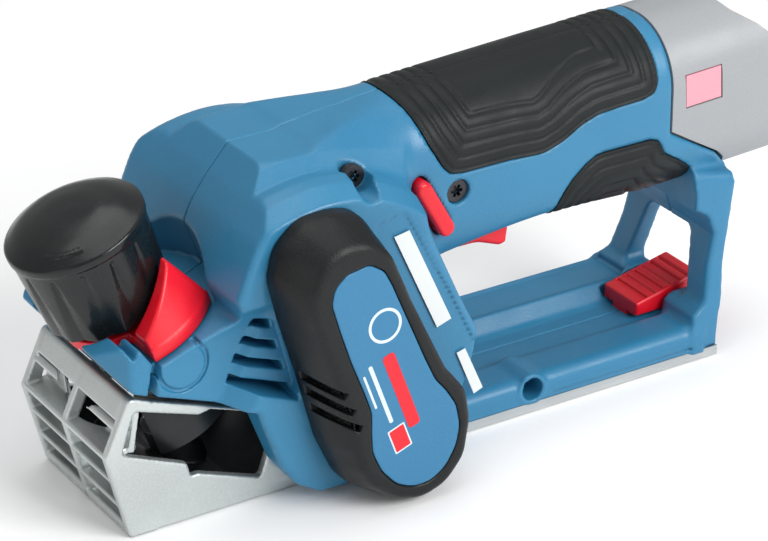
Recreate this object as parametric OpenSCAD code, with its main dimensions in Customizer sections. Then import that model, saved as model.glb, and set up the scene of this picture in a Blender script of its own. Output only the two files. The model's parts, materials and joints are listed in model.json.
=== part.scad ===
// Cordless electric hand planer. Lengths in mm.
// Origin: centre of the rear sole's underside. +X runs towards the battery,
// -Y is the belt-drive side and +Z is up.

/* [Sole] */
// Width of the front shoe and the rear sole
sole_w = 59; // [58.5:0.5:60]
// Length of the rear sole
rear_sole_l = 134; // [132:1:134]
// Thickness of the rear sole
sole_t = 3.3; // [3:0.1:3.3]

/* [Cutter] */
// Cutter axis, behind (+) or ahead (-) of the origin
cut_x = -73.6; // [-74:0.1:-73.4]
// Radius that the blade edge sweeps, which is also the height of the cutter axis
cut_r = 22.9; // [22.8:0.1:23]
// Blade width
blade_w = 56; // [54:0.5:56]
// Radius of the drum body under the blade edge
drum_r = 21.6; // [21:0.1:21.8]

/* [Motor and belt] */
// Motor axis along X
motor_x = -93; // [-93.5:0.1:-92.5]
// Motor axis height
motor_z = 77.5; // [77:0.1:78]
// Radius of the stator
stator_r = 18; // [16:0.5:18]
// Pitch radius of the pulley on the motor
motor_pulley_r = 8; // [7.5:0.1:8.5]
// Pitch radius of the pulley on the drum
drum_pulley_r = 11.6; // [11:0.1:12]

/* [Depth adjuster] */
// Forward lean of the knob's axis, degrees
tilt = 20.3; // [20:0.1:20.5]
// Largest depth of cut, measured square to the sole
cut_depth = 2; // [1:0.1:2]
// Radius of the knob at its upper rim
knob_r = 22.65; // [22:0.05:22.7]
// Height of the knob's skirt
knob_h = 31; // [28:0.5:32]

/* [Handle and battery] */
// Width of the handle
handle_w = 46; // [45:0.5:47]
// Height of the handle's section
handle_h = 61.5; // [60:0.5:62]
// Rise of the handle's centre line towards the rear, degrees
handle_rise = 3; // [2.5:0.1:3.5]

/* [Hidden] */
$fn = 48;

// Small amount by which a cutting tool runs past a face
eps = 1;
half_w = sole_w / 2;
// Outer side faces of the body: beside the knob, beside the belt, right-hand motor bulge
cheek_y = 34;
belt_wall_y = 42;
bulge_y = 42;
// Inner faces of the two walls beside the drum
drum_left_y = -half_w - 0.4;
drum_right_y = 27.3;
// Belt cover: outer face and inner face of its flat lid
cover_y = 60;
cover_lid = 2.4;
// Centre of the knob's upper rim, from which distances down the tilted axis are counted
rim_x = -158.8;
rim_z = 95.9;
// Distances down the tilted axis
deck_s = 38.5;
deck_t = 3.5;
lever_r = 31.4;
vane_r = 24;
vane_bottom_s = 76;
spindle_r = 4;
shoe_travel = cut_depth / cos(tilt);
// The clearance that a turning drum and blade need
drum_clear_r = cut_r + 1;
handle_z = 86.7;
handle_round = 21;
handle_end_x = 49;
// Long shallow arc that hollows the handle's underside for the fingers
scoop_x = 5;
scoop_z = -67;
scoop_r = 130;
// Holes in the base's sides that a fence plugs into
fence_x = -9.4;
fence_z = 8.4;
fence_r = 4;
fence_l = 14;
// Height of the stored hex key
key_z = 6;
// Depth of the seat moulded into the handle for the soft grips, and how proud the grips stand
grip_in = 1.6;
grip_out = 0.5;
// Housing screws: x, z and the half-width of the body that each is counterbored from
screw_points = [[-34.6, 83.9, 23], [-77.6, 102.6, 31], [-68, 52, belt_wall_y]];
sole_screw_points = [[-52, -22], [-52, 22], [52, -22], [52, 22]];
// Screws along the blade clamp, and the middle of the blade's width
clamp_screw_y = [-20, -1.5, 12];
blade_mid_y = drum_right_y - 0.4 - blade_w / 2;
blue = [0.18, 0.48, 0.64];
red = [0.85, 0.06, 0.12];
black = [0.12, 0.15, 0.16];
metal = [0.78, 0.82, 0.81];

// ---- Shared shapes ----

// A drawing in X and Z, given thickness from y0 to y1
module along_y(y0, y1) {
    translate([0, y1, 0]) rotate([90, 0, 0]) linear_extrude(y1 - y0) children();
}

// A drawing in Y and Z, given thickness from x0 to x1
module along_x(x0, x1) {
    translate([x0, 0, 0]) rotate([90, 0, 90]) linear_extrude(x1 - x0) children();
}

// A round bar across the tool
module rod_y(x, z, r, y0, y1) {
    translate([x, y1, z]) rotate([90, 0, 0]) cylinder(r = r, h = y1 - y0);
}

// A round bar along the tool
module rod_x(y, z, r, x0, x1) {
    translate([x0, y, z]) rotate([0, 90, 0]) cylinder(r = r, h = x1 - x0);
}

// Places children at a distance s down the tilted axis, their +Z pointing up along it
module on_tilt(s) {
    translate([rim_x + s * sin(tilt), 0, rim_z - s * cos(tilt)])
        rotate([0, -tilt, 0]) children();
}

// Places children on the handle's centre line, their X along it
module on_handle() {
    translate([0, 0, handle_z]) rotate([0, -handle_rise, 0]) children();
}

// A rectangle with true arcs at its corners, centred
module round_rect(w, h, r) {
    square([w - 2 * r, h], center = true);
    square([w, h - 2 * r], center = true);
    for (sx = [-1, 1], sy = [-1, 1])
        translate([sx * (w / 2 - r), sy * (h / 2 - r)]) circle(r);
}

// The handle's rounded bar, grown by g all round
module handle_bar(g, x0, x1) {
    difference() {
        on_handle() along_x(x0, x1)
            round_rect(handle_w + 2 * g, handle_h + 2 * g, handle_round + g);
        rod_y(scoop_x, scoop_z, scoop_r - g, -40, 40);
    }
}

// A pie slice in the X-Y plane from angle a0 to a1, under 180 degrees wide in all
module slice(r, a0, a1) {
    mid = (a0 + a1) / 2;
    polygon([[0, 0], r * [cos(a0), sin(a0)], 1.6 * r * [cos(mid), sin(mid)],
             r * [cos(a1), sin(a1)]]);
}

module left_half() {
    intersection() {
        children();
        translate([-250, -100, -20]) cube([450, 100, 200]);
    }
}

module right_half() {
    intersection() {
        children();
        translate([-250, 0, -20]) cube([450, 100, 200]);
    }
}

// A pan-head screw with a six-lobe recess: head top at the origin, shank along -Z
module screw(head_r, head_h, shank_r, length) {
    difference() {
        translate([0, 0, -head_h]) cylinder(r = head_r, h = head_h);
        translate([0, 0, -head_h * 0.6]) for (a = [0 : 60 : 120]) rotate(a)
            cube([head_r * 1.1, head_r * 0.3, head_h * 2], center = true);
    }
    translate([0, 0, -length]) cylinder(r = shank_r, h = length - head_h);
}

// A deep-groove ball bearing drawn as its two rings and the shield between them
module bearing(bore_r, outer_r, width) {
    rotate_extrude() difference() {
        translate([bore_r, 0]) square([outer_r - bore_r, width]);
        for (z = [0, width])
            translate([(bore_r + outer_r) / 2 - 1.2, z - 0.3]) square([2.4, 0.6]);
    }
}

// ---- Body casing ----

// Side view of the motor head, from the front lower corner round to the nose
module head_side() {
    polygon([[-158, 51.9], [-104.7, 31.5], [-96.2, 22], [-90, 9.5], [-84, sole_t],
             [-25.1, sole_t], [-25.1, 8.1], [-27.6, 15.5], [-30.8, 27.1], [-33.9, 33.5],
             [-45.6, 57], [-57, 83], [-63.6, 98.4], [-67.6, 110.3], [-104.7, 109.9],
             [-112.3, 101.6], [-118.1, 93.7], [-121.4, 86.3], [-125.4, 76.7],
             [-122.3, 68.3], [-158.6, 54.9]]);
}

// Front view of the motor head
module head_front() {
    polygon([[-cheek_y, 24], [-cheek_y, 60], [-belt_wall_y, 70], [-belt_wall_y, 88],
             [-36, 99], [-22, 110.5], [22, 110.5], [36, 99], [bulge_y, 86],
             [bulge_y, 64], [cheek_y, 54], [cheek_y, 46], [half_w, 40],
             [half_w, 0], [drum_left_y, 0], [drum_left_y, 24]]);
}

// Wall that carries the belt drive, on the left
module belt_wall_side() {
    polygon([[-121, 44], [-118.3, 33.6], [-111.6, 15.6], [-105.7, 7.6], [-97.8, 2.9],
             [-91.9, 2.5], [-60, 2.5], [-43.3, 4.7], [-38.4, 7.7], [-25.1, 8.1],
             [-27.6, 15.5], [-30.8, 27.1], [-33.9, 33.5], [-45.6, 57], [-57, 83],
             [-63.6, 98.4], [-67, 101], [-100, 103], [-116, 84]]);
}

// Corner block beside the knob, which the chip lever stops against
module corner_block() {
    intersection() {
        along_y(-cheek_y, -16)
            polygon([[-158, 51.9], [-153, 50], [-151, 60], [-152.8, 66], [-159.5, 66.7],
                     [-166.8, 62.9]]);
        on_tilt(50) difference() {
            cylinder(r = 38, h = 30);
            translate([0, 0, 50 - deck_s]) cylinder(r = 24.2, h = 30);
        }
        linear_extrude(100)
            polygon([[-170, -16], [-166, -24], [-158, -cheek_y], [-148, -cheek_y],
                     [-148, -16]]);
    }
}

// The bar of the handle and the tongue under the battery
module handle_outer() {
    intersection() {
        handle_bar(0, -82, 80);
        along_y(-40, 40)
            polygon([[-80, 125], [handle_end_x, 125], [handle_end_x, 84], [69.7, 71.6],
                     [73.5, 68], [76.2, 64], [77, 58], [77, 50], [-80, 40]]);
    }
}

// Rear post that joins the handle to the base, with its window
module rear_post() {
    difference() {
        intersection() {
            along_y(-half_w, half_w)
                polygon([[58, sole_t], [67, sole_t], [67.6, 14], [69.6, 19.7], [76.6, 60],
                         [76.1, 63.6], [52, 66], [56, 56], [66, 50], [68.5, 44], [62.5, 19.7],
                         [58, 16]]);
            along_x(50, 80)
                polygon([[-half_w, 0], [-half_w, 16], [-25.4, 32], [-24, 60], [-21, 68],
                         [21, 68], [24, 60], [25.4, 32], [half_w, 16], [half_w, 0]]);
        }
        along_x(56, 80) polygon([[-17, 20], [-15.5, 18], [15.5, 18], [17, 20],
                                 [12, 40], [10, 41.5], [-10, 41.5], [-12, 40]]);
    }
}

// Base over the rear sole: a rounded left edge, a hand trough and a flat right side
module base_block() {
    difference() {
        along_x(-46, 60) difference() {
            union() {
                translate([-half_w, sole_t]) square([sole_w, 4]);
                translate([-half_w + 7, sole_t]) square([sole_w - 7, 12.4]);
                translate([-half_w + 7.2, 5]) circle(7.2);
            }
            translate([-40, -10]) square([80, 10 + sole_t]);
        }
        rod_x(-7, 38, 29, -26, 44);
        translate([-26, 12, 14.6]) cube([84, 20, 5]);
    }
}

module casing_outer() {
    difference() {
        union() {
            difference() {
                intersection() {
                    along_y(-45, 45) head_side();
                    along_x(-170, -20) head_front();
                }
                // Room for the knob and the lever, which turns behind it
                on_tilt(deck_s) cylinder(r = lever_r + 0.9, h = 90);
            }
            along_y(-belt_wall_y, drum_left_y) belt_wall_side();
        }
        // The knob's deck stays open to both sides
        on_tilt(deck_s) translate([-60, -60, 0]) cube([64, 120, 90]);
    }
    corner_block();
    mirror([0, 1, 0]) corner_block();
    handle_outer();
    rear_post();
    base_block();
}

// Everything hollow inside the casing
module casing_inner() {
    // Drum chamber, open below
    rod_y(cut_x, cut_r, drum_clear_r + 0.5, drum_left_y, drum_right_y);
    translate([cut_x - 17, drum_left_y, -1])
        cube([34, drum_right_y - drum_left_y, cut_r]);
    // Chip passage under the knob
    on_tilt(85) cylinder(r = vane_r + 2, h = 85 - deck_s - deck_t);
    along_y(-26, 26) polygon([[-140, 46], [-118, 58], [-96, 42], [-92, 20], [-110, 20]]);
    // Spindle bore in the deck
    on_tilt(60) cylinder(r = spindle_r + 0.05, h = 40);
    // Motor chamber
    rod_y(motor_x, motor_z, stator_r + 2, -32, 33);
    // Handle hollow and the battery pocket
    on_handle() {
        along_x(-66, 10) round_rect(37, 43, 14);
        along_x(9, 90) round_rect(40.4, 40.4, 10.4);
    }
    // Duct between the motor and the handle, for the wires
    translate([-82, -14, 74]) cube([30, 28, 24]);
    // Bearing seats
    rod_y(cut_x, cut_r, 12.02, -40, drum_left_y + eps);
    rod_y(cut_x, cut_r, 7, -belt_wall_y - eps, -39);
    rod_y(motor_x, motor_z, 9.52, -38, -31);
    rod_y(motor_x, motor_z, 4, -belt_wall_y - eps, -37);
    rod_y(motor_x, motor_z, 9.52, 32, 38);
    // Trigger slot, its swing and its pin
    rod_y(-26.6, 61.6, 1.52, -10.5, 10.5);
    translate([-31.2, -9, 48]) cube([28, 18, 22]);
    // Lock-off button openings, through both sides
    along_y(-40, 40) lock_outline(0.8);
    // Hex-key holder channel in the base
    translate([8, -4.4, 4]) cube([80, 8.8, 4]);
    translate([46, -4.4, 7]) cube([50, 8.8, 10]);
    translate([46, -11.4, 11.5]) cube([50, 22.8, 10]);
    // Cooling-air slots on both sides, wider towards the sole
    for (i = [0 : 3])
        translate([-119.8 - 2.2 * i, -60, 55.5 - 5.2 * i]) rotate([0, 17, 0])
            cube([9 + 4 * i, 120, 2.6]);
    // Blind hole for a fence, both sides
    rod_y(fence_x, fence_z, fence_r, -half_w - eps, -half_w + fence_l);
    rod_y(fence_x, fence_z, fence_r, half_w - fence_l, half_w + eps);
    // Screw holes through both halves
    for (p = screw_points) {
        rod_y(p[0], p[1], 4.2, -60, -p[2] + 3.2);
        rod_y(p[0], p[1], 1.7, -40, 16);
    }
}

// The seat that the soft grips fill
module grip_region() {
    polygon([[-52, 126], [-50.5, 115], [-48.5, 112], [-45.1, 102], [-41, 94.4],
             [-37.7, 90.9], [-33, 90.1], [-14, 90.1], [-2.2, 89.2], [5.9, 91.9],
             [13.2, 96], [19.6, 98], [28.9, 98.6], [37.3, 99], [41.4, 100.2],
             [43.2, 103.6], [43.4, 108], [42.6, 126]]);
}

module lower_grip_region() {
    polygon([[2, 48], [4, 66], [6.1, 73], [9.3, 77.2], [14.3, 81.3], [18.6, 83.6],
             [22, 84.1], [40.3, 84.1], [43.6, 83], [45.3, 80.6], [46.4, 77.8], [53.8, 73],
             [60, 68.3], [60, 48]]);
}

module grip_seat() {
    difference() {
        handle_bar(grip_out + 2, -80, 64);
        handle_bar(-grip_in, -82, 66);
    }
}

module casing() {
    difference() {
        casing_outer();
        casing_inner();
        intersection() {
            grip_seat();
            union() {
                along_y(-40, 40) grip_region();
                along_y(-40, 40) lower_grip_region();
            }
        }
    }
}

module left_housing() {
    color(blue) left_half() casing();
}

module right_housing() {
    color(blue) {
        right_half() casing();
        // Stub that the drum's right-hand bearing sits on
        rod_y(cut_x, cut_r, 4.96, 17, drum_right_y + 0.2);
    }
}

module soft_grip() {
    intersection() {
        difference() {
            handle_bar(grip_out, -79, 64);
            handle_bar(-grip_in, -82, 66);
        }
        along_y(-40, 40) children();
    }
}

module upper_grip_left() {
    color(black) left_half() soft_grip() grip_region();
}

module upper_grip_right() {
    color(black) right_half() soft_grip() grip_region();
}

module lower_grip_left() {
    color(black) left_half() soft_grip() lower_grip_region();
}

module lower_grip_right() {
    color(black) right_half() soft_grip() lower_grip_region();
}

// Clamp the two halves together
module housing_screws() {
    color("gray") for (p = screw_points)
        translate([p[0], -p[2] + 1.2, p[1]]) rotate([90, 0, 0])
            screw(3.9, 2, 1.6, p[2] + 12);
}

// ---- Belt cover ----

// Keyhole outline round both pulleys, grown by g
module cover_outline(g) {
    hull() {
        translate([motor_x, motor_z]) circle(17.6 + g, $fn = 40);
        translate([cut_x - 13, cut_r + 19]) circle(9 + g, $fn = 40);
    }
    hull() {
        translate([cut_x, cut_r]) circle(21.3 + g, $fn = 40);
        translate([cut_x - 13, cut_r + 19]) circle(9 + g, $fn = 40);
    }
    hull() {
        translate([motor_x, motor_z]) circle(17.6 + g, $fn = 40);
        translate([cut_x + 6, cut_r + 10]) circle(15 + g, $fn = 40);
    }
}

module belt_cover() {
    color(black) difference() {
        union() {
            along_y(-cover_y, -cover_y + 6) cover_outline(0);
            along_y(-cover_y + 5, -belt_wall_y) cover_outline(3.4);
        }
        // Flattened below, clear of the work
        translate([cut_x - 60, -cover_y - eps, -20]) cube([120, 40, 21.4]);
        along_y(-cover_y + cover_lid, -belt_wall_y + eps) cover_outline(-1.4);
        along_y(-cover_y - eps, -cover_y + 1) panel_outline(0.15);
        // Cooling slots in the front flank
        for (i = [0 : 2])
            translate([-108 + 3.2 * i, -57, 47 - 7 * i]) rotate([0, 17, 0])
                cube([6, 8, 2.2]);
    }
}

// Recessed name-plate area, left blank
module panel_outline(g) {
    hull() {
        translate([motor_x + 2, motor_z - 1]) circle(10.2 + g, $fn = 40);
        translate([cut_x - 4, cut_r + 12]) circle(9.5 + g, $fn = 40);
    }
    translate([cut_x, cut_r]) circle(15.8 + g, $fn = 40);
}

module cover_panel() {
    color(blue) along_y(-cover_y, -cover_y + 1) panel_outline(0);
}

// ---- Soles ----

module rear_sole() {
    color(metal) difference() {
        translate([-rear_sole_l / 2, -half_w, 0]) cube([rear_sole_l, sole_w, sole_t]);
        rod_y(cut_x, cut_r, drum_clear_r, -50, 50);
        for (p = sole_screw_points) translate([p[0], p[1], -eps]) {
            cylinder(r = 1.7, h = 10);
            cylinder(r = 3.4, h = eps + 2);
        }
    }
}

module sole_screws() {
    color("gray") for (p = sole_screw_points) translate([p[0], p[1], 0.4])
        mirror([0, 0, 1]) screw(3.2, 1.6, 1.6, 2.8);
}

// Side view of the front shoe
module shoe_side() {
    polygon([[-159, 0], [-166.2, 29.4], [-157.4, 48.3], [-104.4, 28.2], [-98.1, 19.8],
             [-92, 8], [-83, 0]]);
}

// Chip window in the shoe's side
module shoe_window() {
    polygon([[-155.9, 43.4], [-133.7, 35.8], [-129.7, 36.6], [-105.4, 27.7],
             [-112.5, 7.1], [-134.5, 15.3], [-137.2, 15.2], [-138.4, 20], [-160.5, 29.5]]);
}

// Front face of the shoe, moved back by d
module front_face_outline(d) {
    polygon([[-159 + d, 0], [-166.2 + d, 29.4], [-157.4 + d, 48.3], [-60, 60], [-60, -5],
             [-159 + d, -5]]);
}

module front_shoe() {
    wall = 3;
    color(metal) difference() {
        intersection() {
            along_y(-half_w, half_w) shoe_side();
            union() {
                // Floor, with the chip ramp that rises to the front
                along_y(-half_w, half_w)
                    polygon([[-159, 0], [-160, 4], [-147, 4], [-140, 12], [-133, 7.5],
                             [-118, 4], [-92, 4], [-83, 0]]);
                // Side walls
                for (y = [-half_w, half_w - wall])
                    difference() {
                        along_y(y, y + wall) shoe_side();
                        along_y(y - eps, y + wall + eps) shoe_window();
                    }
                // Grille: outer frame, centre bar and cross fins
                along_y(-half_w, half_w)
                    polygon([[-157.4, 48.3], [-161, 41], [-156, 41], [-154.4, 47]]);
                along_y(-1.3, 1.3) difference() {
                    shoe_side();
                    front_face_outline(4.5);
                }
                for (z = [10.5, 20, 29.2, 38])
                    along_y(-half_w + 1, half_w - 1)
                        translate([0, z]) polygon([[-168, -0.9], [-155, 0.4], [-155, 2],
                                                   [-168, 0.9]]);
                // Bright back walls of the upper cells
                along_y(-half_w + 1, half_w - 1)
                    polygon([[-158, 29], [-156, 29], [-153.4, 43], [-155.4, 43]]);
                // Boss that the spindle screws into
                intersection() {
                    on_tilt(99) cylinder(r = 8, h = 19);
                    along_y(-20, 20) shoe_side();
                }
            }
        }
        on_tilt(104) cylinder(r = spindle_r + 0.05, h = 40);
        // Room for the drum at both ends of the travel
        for (d = [0, shoe_travel])
            rod_y(cut_x + d * sin(tilt), cut_r - d * cos(tilt), drum_clear_r, -50, 50);
        // V groove for breaking edges
        translate([-190, 0, 0]) rotate([45, 0, 0]) translate([0, -1.9, -1.9])
            cube([120, 3.8, 3.8]);
    }
}

module shoe_seal() {
    color(black) difference() {
        along_y(-half_w + 1, half_w - 1)
            polygon([[-156.8, 51.4], [-104.9, 31.5], [-105.2, 30.6], [-157.1, 50.5]]);
        along_y(-26, 26) polygon([[-155, 60], [-155, 42], [-90, 20], [-90, 60]]);
    }
}

module adjuster_plate() {
    color(metal) on_tilt(deck_s + deck_t + 0.05 + 2) difference() {
        intersection() {
            cylinder(r = vane_r, h = 2);
            translate([-11, -19, -1]) cube([60, 38, 5]);
        }
        translate([0, 0, -1]) cylinder(r = spindle_r + 0.05, h = 5);
    }
}

// ---- Depth adjuster and chip lever ----

module depth_knob() {
    skirt_r = knob_r - 2.1;
    dome_h = 5;
    dome_r = (knob_r * knob_r + dome_h * dome_h) / (2 * dome_h);
    // Crown of the knob, from its rim to its centre
    crown = [for (i = [8 : -1 : 0]) let (r = knob_r * i / 8)
        [r, sqrt(dome_r * dome_r - r * r) - dome_r + dome_h]];
    // Hollow of the skirt round a centre boss that grips the spindle
    hollow = [[8, -knob_h], [8, -5], [skirt_r - 2.5, -5], [skirt_r - 2.5, -knob_h]];
    color(black) on_tilt(0) rotate_extrude() polygon(concat(
        [[spindle_r, -7], [spindle_r, -knob_h]], hollow,
        [[skirt_r, -knob_h], [skirt_r + 1.2, -4], [knob_r, -3]], crown, [[0, -7]]));
}

module depth_spindle() {
    color("gray") on_tilt(92) {
        cylinder(r = spindle_r, h = 92 - 7);
        translate([0, 0, 92 - deck_s + 0.4]) cylinder(r = 6.5, h = 3);
    }
}

module spindle_clip() {
    color("gray") on_tilt(deck_s + deck_t + 4) difference() {
        cylinder(r = 7, h = 1.2);
        translate([0, 0, -eps]) cylinder(r = spindle_r, h = 4);
        translate([-1.5, 0, -eps]) cube([3, 10, 4]);
    }
}

module chip_lever() {
    ring_h = 4;
    color(red) on_tilt(deck_s - 0.4) {
        difference() {
            cylinder(r = 20, h = ring_h);
            translate([0, 0, -eps]) cylinder(r = 10.5, h = 10);
        }
        // Thumb tab that hugs the knob
        difference() {
            intersection() {
                union() {
                    cylinder(r = lever_r, h = 6);
                    translate([0, 0, 5.9]) cylinder(r1 = lever_r, r2 = 25.4, h = 15.5, $fn = 64);
                }
                linear_extrude(30) slice(34, -97, -39);
                linear_extrude(30)
                    polygon([[-8.3, -18.7], [4.2, -23.4], [25.5, -21.3], [27, -12.5],
                             [10.4, -10.4], [-8.3, -15.6]]);
            }
            translate([0, 0, ring_h]) cylinder(r = 23.6, h = 40);
        }
    }
}

// The stretch of a turn that the vane closes
module vane_sector() {
    slice(40, -118, -64);
    slice(40, -66, -10);
}

module chip_vane() {
    top = deck_s + deck_t + 6.2;
    color(black) on_tilt(vane_bottom_s) {
        // Curved wall that closes one side
        difference() {
            intersection() {
                cylinder(r = vane_r, h = vane_bottom_s - top);
                linear_extrude(60) vane_sector();
            }
            translate([0, 0, -eps]) cylinder(r = vane_r - 1.8, h = 60);
        }
        // Disc and hub that carry it
        translate([0, 0, vane_bottom_s - top - 1.8]) difference() {
            union() {
                cylinder(r = 8, h = 1.8);
                intersection() {
                    cylinder(r = vane_r, h = 1.8);
                    linear_extrude(5) vane_sector();
                }
            }
            translate([0, 0, -eps]) cylinder(r = 4.3, h = 5);
        }
    }
}

module shoe_spring() {
    wire_r = 0.6;
    coil_r = 5.6;
    turns = 4;
    pitch = 6.4;
    steps = 12;
    color("silver") on_tilt(80 - 0.7) coil(coil_r, wire_r, pitch, turns, steps);
}

// Compression spring: a wire of round section wound up +Z, as one polyhedron
module coil(coil_r, wire_r, pitch, turns, steps) {
    sides = 6;
    count = turns * steps;
    points = [for (i = [0 : count], j = [0 : sides - 1])
        let (a = 360 * i / steps, b = 360 * j / sides)
        [(coil_r + wire_r * cos(b)) * cos(a), (coil_r + wire_r * cos(b)) * sin(a),
         pitch * i / steps + wire_r * sin(b)]];
    walls = [for (i = [0 : count - 1], j = [0 : sides - 1])
        let (k = (j + 1) % sides)
        [i * sides + j, (i + 1) * sides + j, (i + 1) * sides + k, i * sides + k]];
    ends = [[for (j = [0 : sides - 1]) j],
            [for (j = [sides - 1 : -1 : 0]) count * sides + j]];
    polyhedron(points, concat(walls, ends));
}

// ---- Cutter ----

// Places children at the cutter axis, Y along it
module at_cutter() {
    translate([cut_x, 0, cut_r]) children();
}

module cutter_drum() {
    color(metal) difference() {
        union() {
            rod_y(cut_x, cut_r, drum_r, blade_mid_y - blade_w / 2, blade_mid_y + blade_w / 2);
            rod_y(cut_x, cut_r, 5.96, -57.2, 0);
        }
        // Recess round the right-hand bearing
        rod_y(cut_x, cut_r, 9.56, 16, 40);
        // Seat for the blade and its clamp, open at the bottom
        at_cutter() along_y(-40, 40)
            polygon([[-0.3, -30], [-0.3, -11], [10.3, -11], [13, -30]]);
    }
}

module planer_blade() {
    color("silver") at_cutter()
        along_y(blade_mid_y - blade_w / 2, blade_mid_y + blade_w / 2)
        polygon([[0, -cut_r], [0, -11.2], [1.1, -11.2], [1.1, -cut_r + 1.2]]);
}

module blade_clamp() {
    color("gray") at_cutter() difference() {
        along_y(blade_mid_y - blade_w / 2 + 0.5, blade_mid_y + blade_w / 2 - 0.5)
            polygon([[1.2, -19.6], [1.2, -11.2], [9.9, -11.2], [10.8, -16.8]]);
        for (y = clamp_screw_y) translate([5.5, y, -30]) cylinder(r = 2.6, h = 30);
    }
}

module blade_screws() {
    color("gray") at_cutter() for (y = clamp_screw_y)
        translate([5.5, y, -17.2]) mirror([0, 0, 1]) screw(2.5, 2, 1.5, 5.9);
}

// ---- Belt drive ----

module grooved_pulley(r, width) {
    rotate_extrude() difference() {
        square([r + 1.2, width]);
        translate([r - 0.6, 1.2]) square([3, width - 2.4]);
    }
}

module drum_pulley() {
    color("gray") translate([cut_x, -46, cut_r]) rotate([90, 0, 0]) difference() {
        grooved_pulley(drum_pulley_r, 9);
        translate([0, 0, -eps]) cylinder(r = 5.96, h = 20);
    }
}

module pulley_nut() {
    color("gray") translate([cut_x, -55.2, cut_r]) rotate([90, 0, 0]) difference() {
        cylinder(r = 8, h = 2, $fn = 6);
        translate([0, 0, -eps]) cylinder(r = 5.96, h = 5);
    }
}

module motor_pulley() {
    color("gray") translate([motor_x, -46, motor_z]) rotate([90, 0, 0]) difference() {
        grooved_pulley(motor_pulley_r, 9);
        translate([0, 0, -eps]) cylinder(r = 2.96, h = 20);
    }
}

// The belt's loop grown by g from its inner face
module belt_loop(g) {
    hull() {
        translate([motor_x, motor_z]) circle(motor_pulley_r - 0.4 + g, $fn = 40);
        translate([cut_x, cut_r]) circle(drum_pulley_r - 0.4 + g, $fn = 40);
    }
}

module drive_belt() {
    color(black) along_y(-53.6, -47.4) difference() {
        belt_loop(1.6);
        belt_loop(0);
    }
}

module drum_bearings() {
    color("silver") {
        translate([cut_x, -33.5, cut_r]) rotate([90, 0, 0]) bearing(6, 12, 6);
        translate([cut_x, 23, cut_r]) rotate([90, 0, 0]) bearing(4.98, 9.5, 5);
    }
}

// ---- Motor ----

module at_motor() {
    translate([motor_x, 0, motor_z]) children();
}

module motor_stator() {
    color("dimgray") at_motor() rotate([90, 0, 0]) translate([0, 0, -12])
        linear_extrude(26) difference() {
            circle(stator_r);
            circle(9.6);
            for (a = [0 : 60 : 300]) rotate(a + 30) {
                translate([9, -2.4]) square([6, 4.8]);
                translate([9, -0.8]) square([2, 1.6]);
            }
        }
}

module motor_windings() {
    color([0.72, 0.42, 0.2]) at_motor() for (y = [-19, 12.1])
        translate([0, y + 4.8, 0]) rotate([90, 0, 0]) difference() {
            cylinder(r = 15.6, h = 4.8);
            translate([0, 0, -eps]) cylinder(r = 10.4, h = 10);
        }
}

module motor_rotor() {
    color("gray") rod_y(motor_x, motor_z, 9, -15, 13);
}

module motor_shaft() {
    color("silver") {
        rod_y(motor_x, motor_z, 2.96, -57, -15);
        rod_y(motor_x, motor_z, 2.96, 13, 37);
    }
}

module cooling_fan() {
    color(black) at_motor() translate([0, 30, 0]) rotate([90, 0, 0]) {
        difference() {
            cylinder(r = 17.5, h = 1.4);
            translate([0, 0, -eps]) cylinder(r = 2.96, h = 4);
        }
        difference() {
            cylinder(r = 6, h = 8);
            translate([0, 0, -eps]) cylinder(r = 2.96, h = 10);
        }
        for (a = [0 : 40 : 320]) rotate(a) translate([5.5, -0.6, 0]) cube([11.5, 1.2, 8]);
    }
}

module motor_bearings() {
    color("silver") at_motor() {
        translate([0, -32.4, 0]) rotate([90, 0, 0]) bearing(3, 9.5, 5);
        translate([0, 37.6, 0]) rotate([90, 0, 0]) bearing(3, 9.5, 5);
    }
}

// ---- Electrics ----

module control_board() {
    color("seagreen") on_handle() translate([-60, -14, 8]) cube([46, 28, 1.6]);
}

module board_capacitors() {
    color("dimgray") on_handle() {
        for (x = [-52, -40]) translate([x, 8, 9.6]) cylinder(r = 4.5, h = 8);
        for (x = [-54, -46, -38]) translate([x, -12, 9.6]) cube([5, 7, 2]);
    }
}

module trigger_switch() {
    color("dimgray") on_handle() {
        translate([-24, -8, -8]) cube([24, 16, 14]);
        translate([-12, -3, -12.2]) cube([6, 6, 4.2]);
    }
}

module terminal_block() {
    color(black) on_handle() translate([3, -13, -12]) cube([5, 26, 24]);
}

module contact_blades() {
    color("goldenrod") on_handle() for (y = [-9, 0, 9])
        translate([8, y - 0.4, -5]) cube([3.2, 0.8, 10]);
}

// Round wires laid from point to point
module wire(points, r) {
    for (i = [0 : len(points) - 2]) {
        d = points[i + 1] - points[i];
        len_d = norm(d);
        translate(points[i]) rotate([0, acos(d[2] / len_d), atan2(d[1], d[0])])
            cylinder(r = r, h = len_d, $fn = 16);
        translate(points[i]) sphere(r = 1.2 * r, $fn = 16);
    }
}

module battery_leads() {
    color("firebrick") on_handle() for (y = [-11, 11])
        wire([[1.8, y, 2], [-4, y, 7], [-13.8, y, 8.8]], 0.9);
}

module motor_leads() {
    color("orange") for (y = [-5, 0, 5])
        wire([[-73.4, y, 80], [-66, y, 84], [-60.4, y, 90.4]], 0.9);
}

module side_label() {
    color("whitesmoke") along_y(-belt_wall_y - 0.25, -belt_wall_y)
        polygon([[-70.6, 85.2], [-65.1, 86.2], [-49.7, 51.5], [-55, 49.8]]);
}

module serial_label() {
    color("silver") along_y(-belt_wall_y - 0.25, -belt_wall_y)
        polygon([[-47.6, 38.5], [-44.4, 39.3], [-37.6, 23.3], [-41, 22]]);
}

// ---- Switch controls ----

// Slanted bar outline of the lock-off button, grown by g
module lock_outline(g) {
    a = [-49.5, 89.3];
    b = [-41.2, 74.3];
    hull() {
        translate(a) circle(2.9 + g, $fn = 24);
        translate(b) circle(2.9 + g, $fn = 24);
    }
}

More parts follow.
